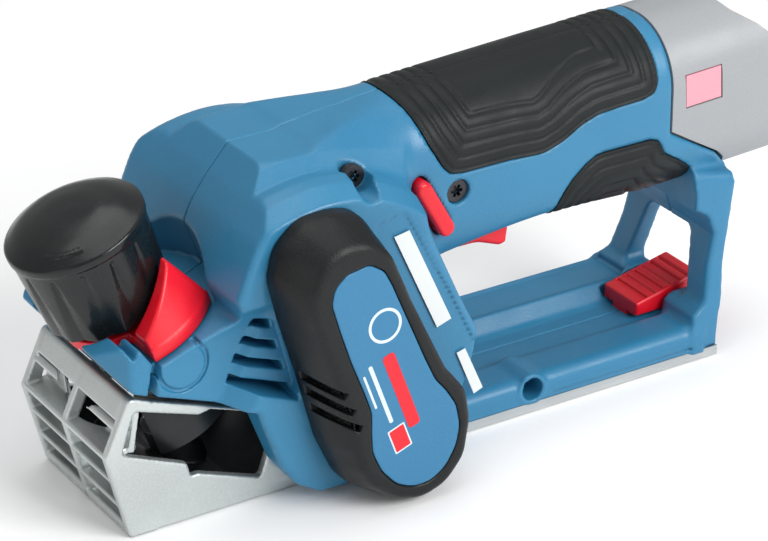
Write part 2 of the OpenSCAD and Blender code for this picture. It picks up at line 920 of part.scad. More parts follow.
module lock_button_left() {
    color(red) along_y(-27.2, -17) lock_outline(0);
}

module lock_button_right() {
    color(red) along_y(17, 27.2) lock_outline(0);
}

module lock_bar() {
    color(black) rod_y(-45.3, 81.8, 2.2, -17, 17);
}

module trigger() {
    color(red) difference() {
        along_y(-8, 8)
            polygon([[-30.2, 57.4], [-29, 55.2], [-17, 55], [-8, 51.6], [-5.6, 52.4],
                     [-4.8, 58], [-5, 68], [-8, 69.5], [-14, 66], [-24, 66.5], [-30.2, 62]]);
        rod_y(-26.6, 61.6, 1.55, -20, 20);
        // Pocket for the return spring
        translate([-17.5, 0, 60]) cylinder(r = 2.6, h = 20);
    }
}

module trigger_pin() {
    color("silver") rod_y(-26.6, 61.6, 1.5, -10.5, 10.5);
}

module trigger_spring() {
    color("silver") translate([-17.5, 0, 60.6]) coil(1.9, 0.35, 3, 4, 12);
}

// ---- Battery ----

module battery_case() {
    color([0.66, 0.68, 0.7]) {
        difference() {
            intersection() {
                handle_bar(-0.1, 40, 112);
                along_y(-40, 40)
                    polygon([[handle_end_x + 0.4, 130], [handle_end_x + 0.4, 84.6],
                             [70, 72.2], [74.1, 68.5], [76.9, 64.2], [77.8, 58], [77.8, 50],
                             [98, 50], [100.9, 59.4], [104.5, 62.5], [106, 68], [105.9, 78],
                             [103.9, 87.6], [99.6, 98], [93.6, 107.2], [86.4, 113.6],
                             [79.9, 117.3], [68, 130]]);
                translate([0, 0, 40]) linear_extrude(100) union() {
                    translate([40, -30]) square([40, 60]);
                    translate([76.4, 0]) circle(30);
                }
            }
            on_handle() along_x(45, 80) round_rect(36.6, 36.6, 9);
            // Finger windows of the two release buttons
            on_handle() for (y = [-30, 17]) translate([55, y, 2]) cube([15, 13, 12]);
            on_handle() battery_trim_region();
        }
        // Stem that plugs into the handle
        on_handle() difference() {
            along_x(12, 78) round_rect(39.6, 39.6, 10);
            along_x(13.5, 80) round_rect(36.6, 36.6, 9);
            translate([11, -12, -6]) cube([4, 24, 12]);
            for (y = [-30, 17]) translate([55, y, 2]) cube([15, 13, 12]);
        }
    }
}

module battery_trim_region() {
    translate([84, -9, 18]) cube([9, 18, 30]);
}

module battery_trim() {
    color([0.86, 0.55, 0.58]) intersection() {
        handle_bar(-0.1, 40, 112);
        along_y(-40, 40)
            polygon([[60, 90], [100.2, 96.6], [99.6, 98], [93.6, 107.2], [86.4, 113.6],
                     [79.9, 117.3], [60, 137]]);
        on_handle() translate([84.05, -8.95, 18.05]) cube([8.9, 17.9, 30]);
    }
}

module battery_cells() {
    cell_r = 8.9;
    color("dimgray") on_handle() for (p = [[-9, -8.4], [9, -8.4], [0, 7.4]])
        rod_x(p[0], p[1], cell_r, 14, 79);
}

module battery_contacts() {
    color("goldenrod") on_handle() for (y = [-9, 0, 9])
        translate([11.8, y - 1.6, -4]) difference() {
            cube([2.2, 3.2, 8]);
            translate([-1, 1, -1]) cube([3, 1.2, 10]);
        }
}

module release_button(side) {
    on_handle() mirror([0, side > 0 ? 1 : 0, 0]) {
        translate([55.4, -22.6, 2.4]) cube([14.2, 2.4, 11.2]);
        translate([57, -20.3, 4]) cube([11, 1.6, 8]);
    }
}

module release_button_left() {
    color([0.86, 0.55, 0.58]) release_button(-1);
}

module release_button_right() {
    color([0.86, 0.55, 0.58]) release_button(1);
}

// ---- Hex key and its holder ----

module key_holder() {
    color(red) difference() {
        union() {
            along_y(-9.6, 9.6)
                polygon([[47, 14.6], [47, 15.8], [73, 21.4], [74, 20.6], [74, 14.6]]);
            translate([47, -4, 4.3]) cube([23, 8, 10.4]);
        }
        // Gripping ribs
        for (i = [0 : 5]) translate([50.5 + 3.6 * i, -12, 17.1 + 0.78 * i])
            rotate([0, -12, 0]) cube([1, 24, 3]);
        rod_x(0, key_z, 1.35, 30, 61);
    }
}

module hex_key() {
    color("gray") {
        translate([16, 0, key_z]) rotate([0, 90, 0]) cylinder(r = 1.25, h = 45, $fn = 6);
        translate([17.2, 1.4, key_z]) rotate([90, 0, 0]) cylinder(r = 1.25, h = 5.4, $fn = 6);
    }
}

left_housing();
right_housing();
upper_grip_left();
upper_grip_right();
lower_grip_left();
lower_grip_right();
belt_cover();
cover_panel();
rear_sole();
sole_screws();
shoe_seal();
adjuster_plate();
housing_screws();
motor_stator();
motor_windings();
motor_bearings();
drive_belt();
drum_bearings();
control_board();
board_capacitors();
trigger_switch();
terminal_block();
contact_blades();
battery_leads();
motor_leads();
side_label();
serial_label();
motor_rotor();
motor_shaft();
cooling_fan();
motor_pulley();
cutter_drum();
planer_blade();
blade_clamp();
blade_screws();
drum_pulley();
pulley_nut();
depth_knob();
depth_spindle();
spindle_clip();
chip_lever();
chip_vane();
front_shoe();
shoe_spring();
lock_button_left();
lock_button_right();
lock_bar();
trigger();
trigger_pin();
trigger_spring();
battery_case();
battery_cells();
battery_trim();
battery_contacts();
release_button_left();
release_button_right();
key_holder();
hex_key();
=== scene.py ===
import json
import math

import bpy
import numpy as np
from mathutils import Matrix, Vector


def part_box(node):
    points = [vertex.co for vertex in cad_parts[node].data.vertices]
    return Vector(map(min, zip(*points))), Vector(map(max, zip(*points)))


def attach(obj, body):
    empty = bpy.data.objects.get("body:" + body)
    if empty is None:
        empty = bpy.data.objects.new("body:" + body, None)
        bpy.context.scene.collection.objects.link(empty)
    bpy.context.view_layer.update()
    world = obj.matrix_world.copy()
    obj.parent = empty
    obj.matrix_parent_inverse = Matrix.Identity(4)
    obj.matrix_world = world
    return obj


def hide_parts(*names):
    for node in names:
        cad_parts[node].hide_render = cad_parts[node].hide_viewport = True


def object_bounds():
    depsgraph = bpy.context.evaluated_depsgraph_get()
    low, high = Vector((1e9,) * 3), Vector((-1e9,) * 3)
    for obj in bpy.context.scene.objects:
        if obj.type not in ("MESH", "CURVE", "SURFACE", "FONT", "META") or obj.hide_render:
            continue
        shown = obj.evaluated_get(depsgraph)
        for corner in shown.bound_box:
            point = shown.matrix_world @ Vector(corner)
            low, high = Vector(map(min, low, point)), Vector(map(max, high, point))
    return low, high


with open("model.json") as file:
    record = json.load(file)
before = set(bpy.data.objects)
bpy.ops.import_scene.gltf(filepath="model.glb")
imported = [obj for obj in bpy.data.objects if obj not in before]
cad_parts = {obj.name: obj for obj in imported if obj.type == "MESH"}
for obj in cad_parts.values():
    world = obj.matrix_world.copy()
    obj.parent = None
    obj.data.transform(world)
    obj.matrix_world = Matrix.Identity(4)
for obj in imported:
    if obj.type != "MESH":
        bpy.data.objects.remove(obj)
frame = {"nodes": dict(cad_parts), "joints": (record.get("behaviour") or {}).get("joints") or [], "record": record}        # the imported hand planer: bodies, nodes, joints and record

cad_lo, cad_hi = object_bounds()

# ---------------- frame sizes
# Shapes are worked out in millimetres in the frame of the CAD model. add_mesh() and decal() turn them
# into metres.
MM = 0.001


def node_box(node):
    """Lowest and highest corner of a CAD node, in mm."""
    lo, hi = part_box(node)
    return np.array(lo) / MM, np.array(hi) / MM


JOINTS = {j["name"]: j for j in frame["joints"]}
MOUNTS = {m["name"]: m for m in frame["record"]["mounts"]}
CUTTER = np.array(JOINTS["cutter_spin"]["pos_m"]) / MM
MOTOR = np.array(JOINTS["motor_spin"]["pos_m"]) / MM
RIM = np.array(JOINTS["depth_turn"]["pos_m"]) / MM
TILT_AXIS = -np.array(JOINTS["depth_turn"]["axis"])
TILT = math.atan2(-TILT_AXIS[0], TILT_AXIS[2])
RISE_AXIS = np.array(JOINTS["battery_slide"]["axis"])
RISE = math.atan2(RISE_AXIS[2], RISE_AXIS[0])
FENCE = np.array(MOUNTS["fence_hole_left"]["pos_m"]) / MM
FENCE_R = MOUNTS["fence_hole_left"]["dims"]["r_mm"]
FENCE_L = MOUNTS["fence_hole_left"]["dims"]["length_mm"]
COVER_LO, COVER_HI = node_box("belt_cover")
LEVER_LO, LEVER_HI = node_box("chip_lever")
KEY_LO, KEY_HI = node_box("key_holder")
HALF_W, SOLE_T = node_box("rear_sole")[1][1:]
CUT_R = CUTTER[2]
SHOE_TRAVEL = JOINTS["shoe_slide"]["range_m"][1] / MM

# Half-widths of the casing: beside the knob, and at the belt wall and the motor bulge
CHEEK_Y = 34.0
WALL_Y = 42.0
# Handle section and the height of its centre line over the origin
HANDLE_W = 46.0
HANDLE_H = 61.5
HANDLE_ROUND = 21.0
HANDLE_Z = 86.7
HANDLE_END_X = 49.0
# Long arc that hollows the handle's underside for the fingers: its axis and radius
SCOOP_X, SCOOP_Z, SCOOP_R = 5, -67, 130
# Soft grips: depth of their seat, depth of their back face in it, and how proud they stand
GRIP_SEAT = 1.6
GRIP_BACK = 1.55
GRIP_OUT = 0.45
# Faces at the left and right end of the drum's chamber
DRUM_LEFT = -HALF_W - 0.4
DRUM_RIGHT = 27.3
# Distance of the deck down the knob's leaning axis
DECK_S = 38.5
# Reach of the chip lever and the chip vane from that axis, and the bore for the knob's spindle
LEVER_R = 31.4
VANE_R = 24.0
SPINDLE_BORE_R = 4.1
# Seats of the drum's and the motor's bearings
DRUM_SEAT_R = 12.02
MOTOR_SEAT_R = 9.52
# Half the gap between the two halves of the casing
SEAM = 0.12
# How far to each side the tools run that cut through a flank, and the halves of the casing
PAST = 60
OUTER = 70
# Keeps the slope of a distance near one where two square directions are added
DIAGONAL = 1.414

CELL = 1.0
PAD_CELL = 0.65
PLATE_CELL = 0.6
KNOB_CELL = 0.6
LEVER_CELL = 0.5
SHELL_CELL = 0.75
SMALL_CELL = 0.5


# ---------------- shapes as signed distances
# A shape is a function of points, an array of shape (n, 3) in mm, that gives each one's distance to the
# surface, negative inside.
def smooth_min(a, b, k):
    """Lower of two distances, with the crease between them rounded to about radius k."""
    if k == 0:
        return np.minimum(a, b)
    h = np.maximum(k - np.abs(a - b), 0)
    return np.minimum(a, b) - h * h / (4 * k)


def union(*shapes, k=0):
    def shape(p):
        d = shapes[0](p)
        for other in shapes[1:]:
            d = smooth_min(d, other(p), k)
        return d
    return shape


def both(*shapes, k=0):
    def shape(p):
        d = -shapes[0](p)
        for other in shapes[1:]:
            d = smooth_min(d, -other(p), k)
        return -d
    return shape


def cut(body, *tools, k=0):
    def shape(p):
        d = -body(p)
        for tool in tools:
            d = smooth_min(d, tool(p), k)
        return -d
    return shape


def grown(body, by):
    """The shape with its surface moved out by a distance, or in where it is negative."""
    return lambda p: body(p) - by


def grown_flat(flat, by):
    return lambda u, v: flat(u, v) - by


def mirrored(body):
    """The same shape on the other side of the tool."""
    return lambda p: body(p * np.array([1, -1, 1], p.dtype))


def below(point, normal):
    """Half space behind a plane."""
    n = np.array(normal, float)
    n /= np.linalg.norm(n)
    offset = float(np.dot(point, n))
    return lambda p: p @ n.astype(p.dtype) - offset


# Corners turned less than this far from straight, as half the angle between their sides, stay sharp
NEARLY_STRAIGHT = 1.54
# Most of a side's length that the arc at one end may take
SIDE_SHARE = 0.48


def filleted(points, radius, steps=5):
    """Outline with each corner turned into an arc. A point may carry its own radius as a third number."""
    made = []
    for i, here in enumerate(points):
        r = here[2] if len(here) > 2 else radius
        a, b, c = (np.array(points[j][:2], float) for j in (i - 1, i, (i + 1) % len(points)))
        u, v = a - b, c - b
        lu, lv = np.linalg.norm(u), np.linalg.norm(v)
        u, v = u / lu, v / lv
        half = math.acos(max(-1.0, min(1.0, float(u @ v)))) / 2
        if r <= 0 or half > NEARLY_STRAIGHT:
            made.append(b)
            continue
        reach = min(r / math.tan(half), SIDE_SHARE * lu, SIDE_SHARE * lv)
        r = reach * math.tan(half)
        centre = b + (u + v) / np.linalg.norm(u + v) * r / math.sin(half)
        start, end = b + u * reach - centre, b + v * reach - centre
        a0 = math.atan2(start[1], start[0])
        turn = (math.atan2(end[1], end[0]) - a0 + math.pi) % (2 * math.pi) - math.pi
        for s in range(steps + 1):
            t = a0 + turn * s / steps
            made.append(centre + r * np.array([math.cos(t), math.sin(t)]))
    return np.array(made)


def polygon_distance(u, v, points):
    """Exact signed distance from flat points to a closed outline."""
    d = np.full(u.shape, 1e12)
    inside = np.zeros(u.shape, bool)
    for (ax, ay), (bx, by) in zip(points, np.roll(points, 1, axis=0)):
        ex, ey = bx - ax, by - ay
        wx, wy = u - ax, v - ay
        t = np.clip((wx * ex + wy * ey) / (ex * ex + ey * ey + 1e-12), 0, 1)
        d = np.minimum(d, (wx - ex * t) ** 2 + (wy - ey * t) ** 2)
        spans = (ay > v) != (by > v)
        inside ^= spans & (u < ex * (v - ay) / (by - ay + 1e-12) + ax)
    return np.where(inside, -1, 1) * np.sqrt(d)


def outline(points, radius=0.0, step=0.4, margin=24.0):
    """Flat distance to a rounded outline, read from a fine table so that it is quick in three dimensions."""
    points = filleted(points, radius)
    lo, hi = points.min(0) - margin, points.max(0) + margin
    us, vs = np.arange(lo[0], hi[0], step), np.arange(lo[1], hi[1], step)
    table = polygon_distance(*np.meshgrid(us, vs, indexing="ij"), points).astype(np.float32)

    def distance(u, v):
        i, j = (u - lo[0]) / step, (v - lo[1]) / step
        ic, jc = np.clip(i, 0, len(us) - 1.001), np.clip(j, 0, len(vs) - 1.001)
        out = np.hypot(i - ic, j - jc) * step
        i0, j0 = ic.astype(np.int32), jc.astype(np.int32)
        fi, fj = ic - i0, jc - j0
        near = table[i0, j0] * (1 - fi) + table[i0 + 1, j0] * fi
        far = table[i0, j0 + 1] * (1 - fi) + table[i0 + 1, j0 + 1] * fi
        return near * (1 - fj) + far * fj + out
    return distance


def slab(axis, lo, hi):
    return lambda p: np.maximum(lo - p[:, axis], p[:, axis] - hi)


def along_y(flat, y0, y1, k=0):
    """An outline in X and Z given thickness across the tool."""
    return both(lambda p: flat(p[:, 0], p[:, 2]), slab(1, y0, y1), k=k)


def along_x(flat, x0, x1, k=0):
    return both(lambda p: flat(p[:, 1], p[:, 2]), slab(0, x0, x1), k=k)


def along_z(flat, z0, z1, k=0):
    return both(lambda p: flat(p[:, 0], p[:, 1]), slab(2, z0, z1), k=k)


def block(lo, hi, r=0.0):
    """Box with edges rounded to r."""
    centre = (np.array(lo, float) + hi) / 2
    half = (np.array(hi, float) - lo) / 2 - r

    def shape(p):
        q = np.abs(p - centre) - half
        return np.linalg.norm(np.maximum(q, 0), axis=1) + np.minimum(q.max(1), 0) - r
    return shape


def rod(start, end, r, k=0):
    """Round bar with flat ends."""
    start, end = np.array(start, float), np.array(end, float)
    length = np.linalg.norm(end - start)
    axis = (end - start) / length

    def shape(p):
        q = p - start
        s = q @ axis
        across = np.sqrt(np.maximum((q * q).sum(1) - s * s, 0)) - r
        ends = np.maximum(-s, s - length)
        return -smooth_min(-across, -ends, k)
    return shape


def rod_y(x, z, r, y0, y1, k=0):
    return rod((x, y0, z), (x, y1, z), r, k)


def round_cone(start, end, r_start, r_end):
    """Two balls of different size and the taper between them."""
    start, along = np.array(start, float), np.subtract(end, start).astype(float)

    def distance(p):
        t = np.clip((p - start) @ along / (along @ along), 0, 1)
        return np.linalg.norm(p - start - t[:, None] * along, axis=1) - (r_start + t * (r_end - r_start))
    return distance


def placed(shape, matrix):
    """The shape, drawn in local axes, put where matrix says."""
    inverse = np.array(matrix.inverted())
    turn, shift = inverse[:3, :3].T.copy(), inverse[:3, 3].copy()
    return lambda p: shape(p @ turn + shift)


def tilt_place(s):
    """Local axes at distance s down the knob's axis, Z pointing up along it."""
    spot = RIM - TILT_AXIS * s
    return Matrix.Translation(Vector(spot)) @ Matrix.Rotation(-TILT, 4, "Y")


HANDLE_PLACE = Matrix.Translation((0, 0, HANDLE_Z)) @ Matrix.Rotation(-RISE, 4, "Y")


def on_tilt(shape, s):
    return placed(shape, tilt_place(s))


def on_handle(shape):
    return placed(shape, HANDLE_PLACE)


def disc(r, z0, z1, k=0):
    return rod((0, 0, z0), (0, 0, z1), r, k)


# ---------------- meshing
FAR = 99            # stands for any distance that is too long to matter
REACH = 1.15        # how much steeper than one a shape's distances may be
SLACK = 0.6         # error of a distance in mm that sampled() allows for
PULL = 0.06         # weight that holds a vertex to the middle of its crossings
NO_FINE = ((), (), ())


def grid_lines(lo, hi, cell, fine):
    """Grid lines along one axis, closer together inside the fine ranges (low, high, spacing)."""
    lines = [lo - 1.5 * cell]
    while lines[-1] < hi + 1.5 * cell:
        here = lines[-1]
        step = min([cell] + [f for a, b, f in fine if a - cell < here < b])
        lines.append(here + step)
    return np.array(lines)


def evaluate(shape, points, chunk=300000):
    return np.concatenate([shape(points[i:i + chunk]) for i in range(0, len(points), chunk)])


def sampled(shape, axes, size=6):
    """Distances on the grid. Blocks of the grid that the surface can't reach only get their sign."""
    counts = [len(a) for a in axes]
    middles, halves = [], []
    for a in axes:
        starts = np.arange(0, len(a) - 1, size)
        ends = np.minimum(starts + size, len(a) - 1)
        middles.append((a[starts] + a[ends]) / 2)
        halves.append((a[ends] - a[starts]) / 2)
    centres = np.stack(np.meshgrid(*middles, indexing="ij"), -1).reshape(-1, 3)
    reach = np.linalg.norm(np.stack(np.meshgrid(*halves, indexing="ij"), -1), axis=-1)
    far = evaluate(shape, centres).reshape(reach.shape)
    near = np.abs(far) < REACH * reach + SLACK
    where = np.ix_(*[np.minimum(np.arange(n) // size, len(m) - 1) for n, m in zip(counts, middles)])
    values = np.sign(far[where]).astype(np.float32) * FAR
    needed = np.zeros(counts, bool)
    for shift in range(8):      # a grid point on a block's edge belongs to the blocks on both sides
        needed |= near[np.ix_(*[
            np.minimum(np.maximum(np.arange(n) - (shift >> i & 1), 0) // size, near.shape[i] - 1)
            for i, n in enumerate(counts)])]
    index = np.nonzero(needed)
    points = np.stack([axes[i][index[i]] for i in range(3)], -1)
    values[index] = evaluate(shape, points)
    return values


# Corners of a tetrahedron, the four directions that gradients() looks in
CORNERS = np.array([[1, -1, -1], [-1, -1, 1], [-1, 1, -1], [1, 1, 1]], float)


def gradients(shape, points, reach=0.12):
    """Unit surface normals, from four distances round each point."""
    total = np.zeros(points.shape)
    for corner in CORNERS:
        total += corner * evaluate(shape, points + corner * reach)[:, None]
    return total / np.maximum(np.linalg.norm(total, axis=1), 1e-9)[:, None]


def contour(shape, lo, hi, cell, fine):
    """Dual contouring: one vertex in each grid cell that the surface crosses, placed on the crease if the
    cell holds one, and one face round each grid edge that the surface crosses."""
    axes = [grid_lines(lo[i], hi[i], cell, fine[i]) for i in range(3)]
    values = sampled(shape, axes)
    cells = [len(a) - 1 for a in axes]
    spots, quads, flips = [], [], []
    for axis in range(3):
        first = [slice(None)] * 3
        second = [slice(None)] * 3
        first[axis], second[axis] = slice(0, -1), slice(1, None)
        v0, v1 = values[tuple(first)], values[tuple(second)]
        index = np.array(np.nonzero((v0 < 0) != (v1 < 0)))
        others = [a for a in range(3) if a != axis]
        inner = np.ones(index.shape[1], bool)
        for a in others:
            inner &= (index[a] > 0) & (index[a] < cells[a])
        index = index[:, inner]
        a0, a1 = v0[tuple(index)], v1[tuple(index)]
        point = np.stack([axes[i][index[i]] for i in range(3)], -1)
        step = axes[axis][index[axis] + 1] - axes[axis][index[axis]]
        point[:, axis] += step * np.clip(a0 / (a0 - a1), 0.001, 0.999)
        spots.append(point)
        ring = []
        for du, dv in ((0, 0), (-1, 0), (-1, -1), (0, -1)):
            near = index.copy()
            near[others[0]] += du
            near[others[1]] += dv
            ring.append(np.ravel_multi_index(tuple(near), cells))
        quads.append(np.stack(ring, -1))
        flips.append((a0 >= 0) != (axis == 1))
    spots, quads, flips = np.concatenate(spots), np.concatenate(quads), np.concatenate(flips)
    normals = gradients(shape, spots)
    ids, faces = np.unique(quads, return_inverse=True)
    faces = faces.reshape(quads.shape)
    where, source = faces.ravel(), np.repeat(np.arange(len(spots)), 4)

    def summed(weights):
        return np.bincount(where, weights=weights[source], minlength=len(ids))
    count = np.bincount(where, minlength=len(ids)).astype(float)
    middle = np.stack([summed(spots[:, i]) for i in range(3)], -1) / count[:, None]
    lean = np.stack([summed(normals[:, i]) for i in range(3)], -1)
    planes = (normals * spots).sum(1)
    matrix = np.empty((len(ids), 3, 3))
    for i in range(3):
        for j in range(i, 3):
            matrix[:, i, j] = matrix[:, j, i] = summed(normals[:, i] * normals[:, j])
    pull = PULL * count
    target = np.stack([summed(normals[:, i] * planes) for i in range(3)], -1) + pull[:, None] * middle
    matrix += pull[:, None, None] * np.eye(3)
    vertices = np.linalg.solve(matrix, target[:, :, None])[:, :, 0]
    cell_index = np.array(np.unravel_index(ids, cells))
    for i in range(3):
        # A vertex stays in its own cell and inside the CAD model's box
        low = np.maximum(axes[i][cell_index[i]], cad_lo[i] / MM)
        high = np.minimum(axes[i][cell_index[i] + 1], cad_hi[i] / MM)
        vertices[:, i] = np.clip(vertices[:, i], low, high)
    faces = np.where(flips[:, None], faces[:, ::-1], faces)
    lean /= np.maximum(np.linalg.norm(lean, axis=1), 1e-9)[:, None]
    return vertices, faces, lean


def in_scene(name, data):
    made = bpy.data.objects.new(name, data)
    bpy.context.scene.collection.objects.link(made)
    return made


def add_mesh(name, vertices, faces, normals, look):
    mesh = bpy.data.meshes.new(name)
    mesh.vertices.add(len(vertices))
    mesh.vertices.foreach_set("co", (vertices * MM).astype(np.float32).ravel())
    size = faces.shape[1]
    mesh.loops.add(faces.size)
    mesh.loops.foreach_set("vertex_index", faces.astype(np.int32).ravel())
    mesh.polygons.add(len(faces))
    mesh.polygons.foreach_set("loop_start", np.arange(0, faces.size, size, dtype=np.int32))
    mesh.update(calc_edges=True)
    mesh.shade_smooth()
    mesh.normals_split_custom_set_from_vertices(normals.astype(np.float32))
    mesh.materials.append(look)
    return in_scene(name, mesh)


def moulded(name, node, body, slot, shape, cell, lo=None, hi=None, fine=NO_FINE):
    """Meshes a shape and lets it stand for a CAD node. The grid covers that node's box, or the one from lo
    to hi."""
    box_lo, box_hi = node_box(node)
    lo = box_lo if lo is None else lo
    hi = box_hi if hi is None else hi
    made = add_mesh(name, *contour(shape, lo, hi, cell, fine), MATERIALS[slot])
    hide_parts(node)
    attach(made, body)
    return made


def round_rect(w, h, r):
    """Flat distance to a centred rectangle with round corners."""
    def flat(u, v):
        a, b = np.abs(u) - w / 2 + r, np.abs(v) - h / 2 + r
        return np.hypot(np.maximum(a, 0), np.maximum(b, 0)) + np.minimum(np.maximum(a, b), 0) - r
    return flat


# ---------------- materials
SLOTS = {m["slot"]: m for m in frame["record"]["materials"]}
SLOT_OF = {s["node"]: s["material_slot"] for s in frame["record"]["subparts"]}


# Noise scales, per metre, of the patches of colour and of roughness, and the bump's depth in metres
PATCH_SCALE = 28
SMEAR_SCALE = 90
BUMP_DEPTH = 0.00012
COAT_ROUGHNESS = 0.12


def put(node, values):
    """Sets a shader node's inputs by name."""
    for name, value in values.items():
        node.inputs[name].default_value = value


def material(name, colour, deep=None, roughness=0.45, metallic=0.0, grain=0.0, grain_size=0.5, wear=0.0,
             brushed=None, coat=0.0, mottle=0.25, specular=0.5):
    """Surface with fine grain, patchy roughness and, with wear, lighter edges. The noise is laid in the
    piece's own axes. grain_size is in mm, and brushed scales the grain along each axis."""
    made = bpy.data.materials.new(name)
    made.use_nodes = True
    tree = made.node_tree
    nodes, links = tree.nodes, tree.links
    shader = nodes["Principled BSDF"]
    where = nodes.new("ShaderNodeTexCoord")

    def noise(scale, detail=2.0, stretch=(1, 1, 1)):
        mapping = nodes.new("ShaderNodeMapping")
        put(mapping, {"Scale": stretch})
        texture = nodes.new("ShaderNodeTexNoise")
        put(texture, {"Scale": scale, "Detail": detail})
        links.new(where.outputs["Object"], mapping.inputs["Vector"])
        links.new(mapping.outputs["Vector"], texture.inputs["Vector"])
        return texture.outputs["Fac"]

    def ramp(source, low, high, from_low=0.35, from_high=0.65):
        node = nodes.new("ShaderNodeMapRange")
        put(node, {"From Min": from_low, "From Max": from_high, "To Min": low, "To Max": high})
        links.new(source, node.inputs["Value"])
        return node.outputs["Result"]

    def blend(factor, a, b):
        node = nodes.new("ShaderNodeMix")
        node.data_type = "RGBA"
        links.new(factor, node.inputs["Factor"])
        for socket, value in (("A", a), ("B", b)):
            target = [i for i in node.inputs if i.name == socket and i.type == "RGBA"][0]
            if isinstance(value, tuple):
                target.default_value = value
            else:
                links.new(value, target)
        return [o for o in node.outputs if o.type == "RGBA"][0]

    base = tuple(colour) + (1,)
    low = tuple(deep or [c * (1 - mottle) for c in colour]) + (1,)
    light = tuple(min(1, c * 1.25 + 0.02) for c in colour) + (1,)
    stretch = brushed or (1, 1, 1)
    patches = noise(PATCH_SCALE, 3)
    speck = noise(1000 / grain_size, 1.5, stretch)
    paint = blend(ramp(patches, 0, 0.5), base, low)
    paint = blend(ramp(speck, 0, 0.22 if grain else 0.05, 0.45, 0.7), paint, light)
    if wear:
        edge = nodes.new("ShaderNodeNewGeometry").outputs["Pointiness"]
        paint = blend(ramp(edge, 0, wear, 0.52, 0.6), paint, light)
    links.new(paint, shader.inputs["Base Color"])
    smooth = noise(SMEAR_SCALE, 4, stretch)
    links.new(ramp(smooth, max(0.03, roughness - 0.06), min(1, roughness + 0.08)), shader.inputs["Roughness"])
    put(shader, {"Metallic": metallic, "Coat Weight": coat, "Coat Roughness": COAT_ROUGHNESS,
                 "Specular IOR Level": specular})
    bump = nodes.new("ShaderNodeBump")
    put(bump, {"Strength": min(1.0, 0.12 + grain), "Distance": BUMP_DEPTH})
    links.new(speck, bump.inputs["Height"])
    links.new(bump.outputs["Normal"], shader.inputs["Normal"])
    return made


LOOKS = {
    "casing_blue": dict(colour=(0.026, 0.19, 0.345), deep=(0.02, 0.155, 0.3), roughness=0.4,
        grain=0.35, wear=0.12),
    "grip_black": dict(colour=(0.006, 0.009, 0.0095), specular=0.28, roughness=0.5,
        grain=0.3, grain_size=0.35),
    "cover_black": dict(colour=(0.005, 0.006, 0.0065), specular=0.3, roughness=0.4,
        grain=0.55, grain_size=0.6),
    "knob_black": dict(colour=(0.005, 0.007, 0.0075), specular=0.35, roughness=0.25, grain=0.1,
        coat=0.12),
    "inner_black": dict(colour=(0.006, 0.008, 0.009), roughness=0.4, grain=0.1),
    "panel_blue": dict(colour=(0.024, 0.17, 0.33), roughness=0.38, grain=0.03, mottle=0.05),
    "control_red": dict(colour=(0.78, 0.004, 0.018), deep=(0.6, 0.003, 0.014), roughness=0.34,
        grain=0.12, wear=0.1),
    "cast_aluminium": dict(colour=(0.62, 0.66, 0.65), roughness=0.4, metallic=0.85, grain=0.3,
        grain_size=0.7),
    "sole_aluminium": dict(colour=(0.6, 0.62, 0.62), roughness=0.3, metallic=0.95, grain=0.2,
        brushed=(0.03, 1, 1)),
    "bright_steel": dict(colour=(0.6, 0.61, 0.62), roughness=0.24, metallic=1.0, grain=0.1,
        brushed=(1, 0.05, 1)),
    "dark_steel": dict(colour=(0.06, 0.06, 0.065), roughness=0.38, metallic=0.9, grain=0.1),
    "lamination_steel": dict(colour=(0.13, 0.13, 0.14), roughness=0.5, metallic=0.6, grain=0.4,
        brushed=(0.1, 2, 0.1)),
    "copper_wire": dict(colour=(0.6, 0.22, 0.07), roughness=0.3, metallic=0.9, grain=0.6,
        brushed=(1, 0.3, 1)),
    "belt_rubber": dict(colour=(0.012, 0.012, 0.012), roughness=0.7, grain=0.4),
    "board_green": dict(colour=(0.02, 0.16, 0.07), roughness=0.25, coat=0.3),
    "component_grey": dict(colour=(0.09, 0.09, 0.1), roughness=0.4, grain=0.1),
    "contact_brass": dict(colour=(0.7, 0.5, 0.2), roughness=0.25, metallic=1.0),
    "lead_red": dict(colour=(0.4, 0.02, 0.02), roughness=0.35),
    "lead_orange": dict(colour=(0.7, 0.22, 0.02), roughness=0.35),
    "label_pale": dict(colour=(0.72, 0.76, 0.76), roughness=0.35, mottle=0.06),
    "battery_grey": dict(colour=(0.3, 0.315, 0.33), roughness=0.42, grain=0.2, mottle=0.06),
    "battery_pink": dict(colour=(0.72, 0.3, 0.36), roughness=0.38, grain=0.1, mottle=0.08),
    "cell_wrap": dict(colour=(0.06, 0.18, 0.12), roughness=0.25, coat=0.3),
}
MATERIALS = {slot: material(slot, **LOOKS[slot]) for slot in SLOTS}
for node, made in frame["nodes"].items():
    made.data.materials.clear()
    made.data.materials.append(MATERIALS[SLOT_OF[node]])

# ---------------- casing
# Side view and front view of the motor head
HEAD = outline([
    (-158, 51.9, 1), (-104.7, 31.5, 5), (-96.2, 22, 8), (-90, 9.5, 6), (-84, SOLE_T, 1),
    (-25.1, SOLE_T, 0.5), (-25.1, 8.1, 1), (-27.6, 15.5, 4), (-30.8, 27.1, 8), (-33.9, 33.5, 10),
    (-45.6, 57, 40), (-57, 83, 40), (-60, 110, 6), (-104.7, 110, 0), (-112.3, 101.6, 25),
    (-118.1, 93.7, 25), (-121.4, 86.3, 25), (-125.4, 76.7, 3), (-122.3, 68.3, 2), (-158.6, 54.9, 1)])
FRONT = outline([
    (-46, -5), (-46, 118), (46, 118), (42, 118), (42, 64, 7), (34.5, 54, 5), (34, 46, 4),
    (HALF_W, 40, 3), (HALF_W, -5)])
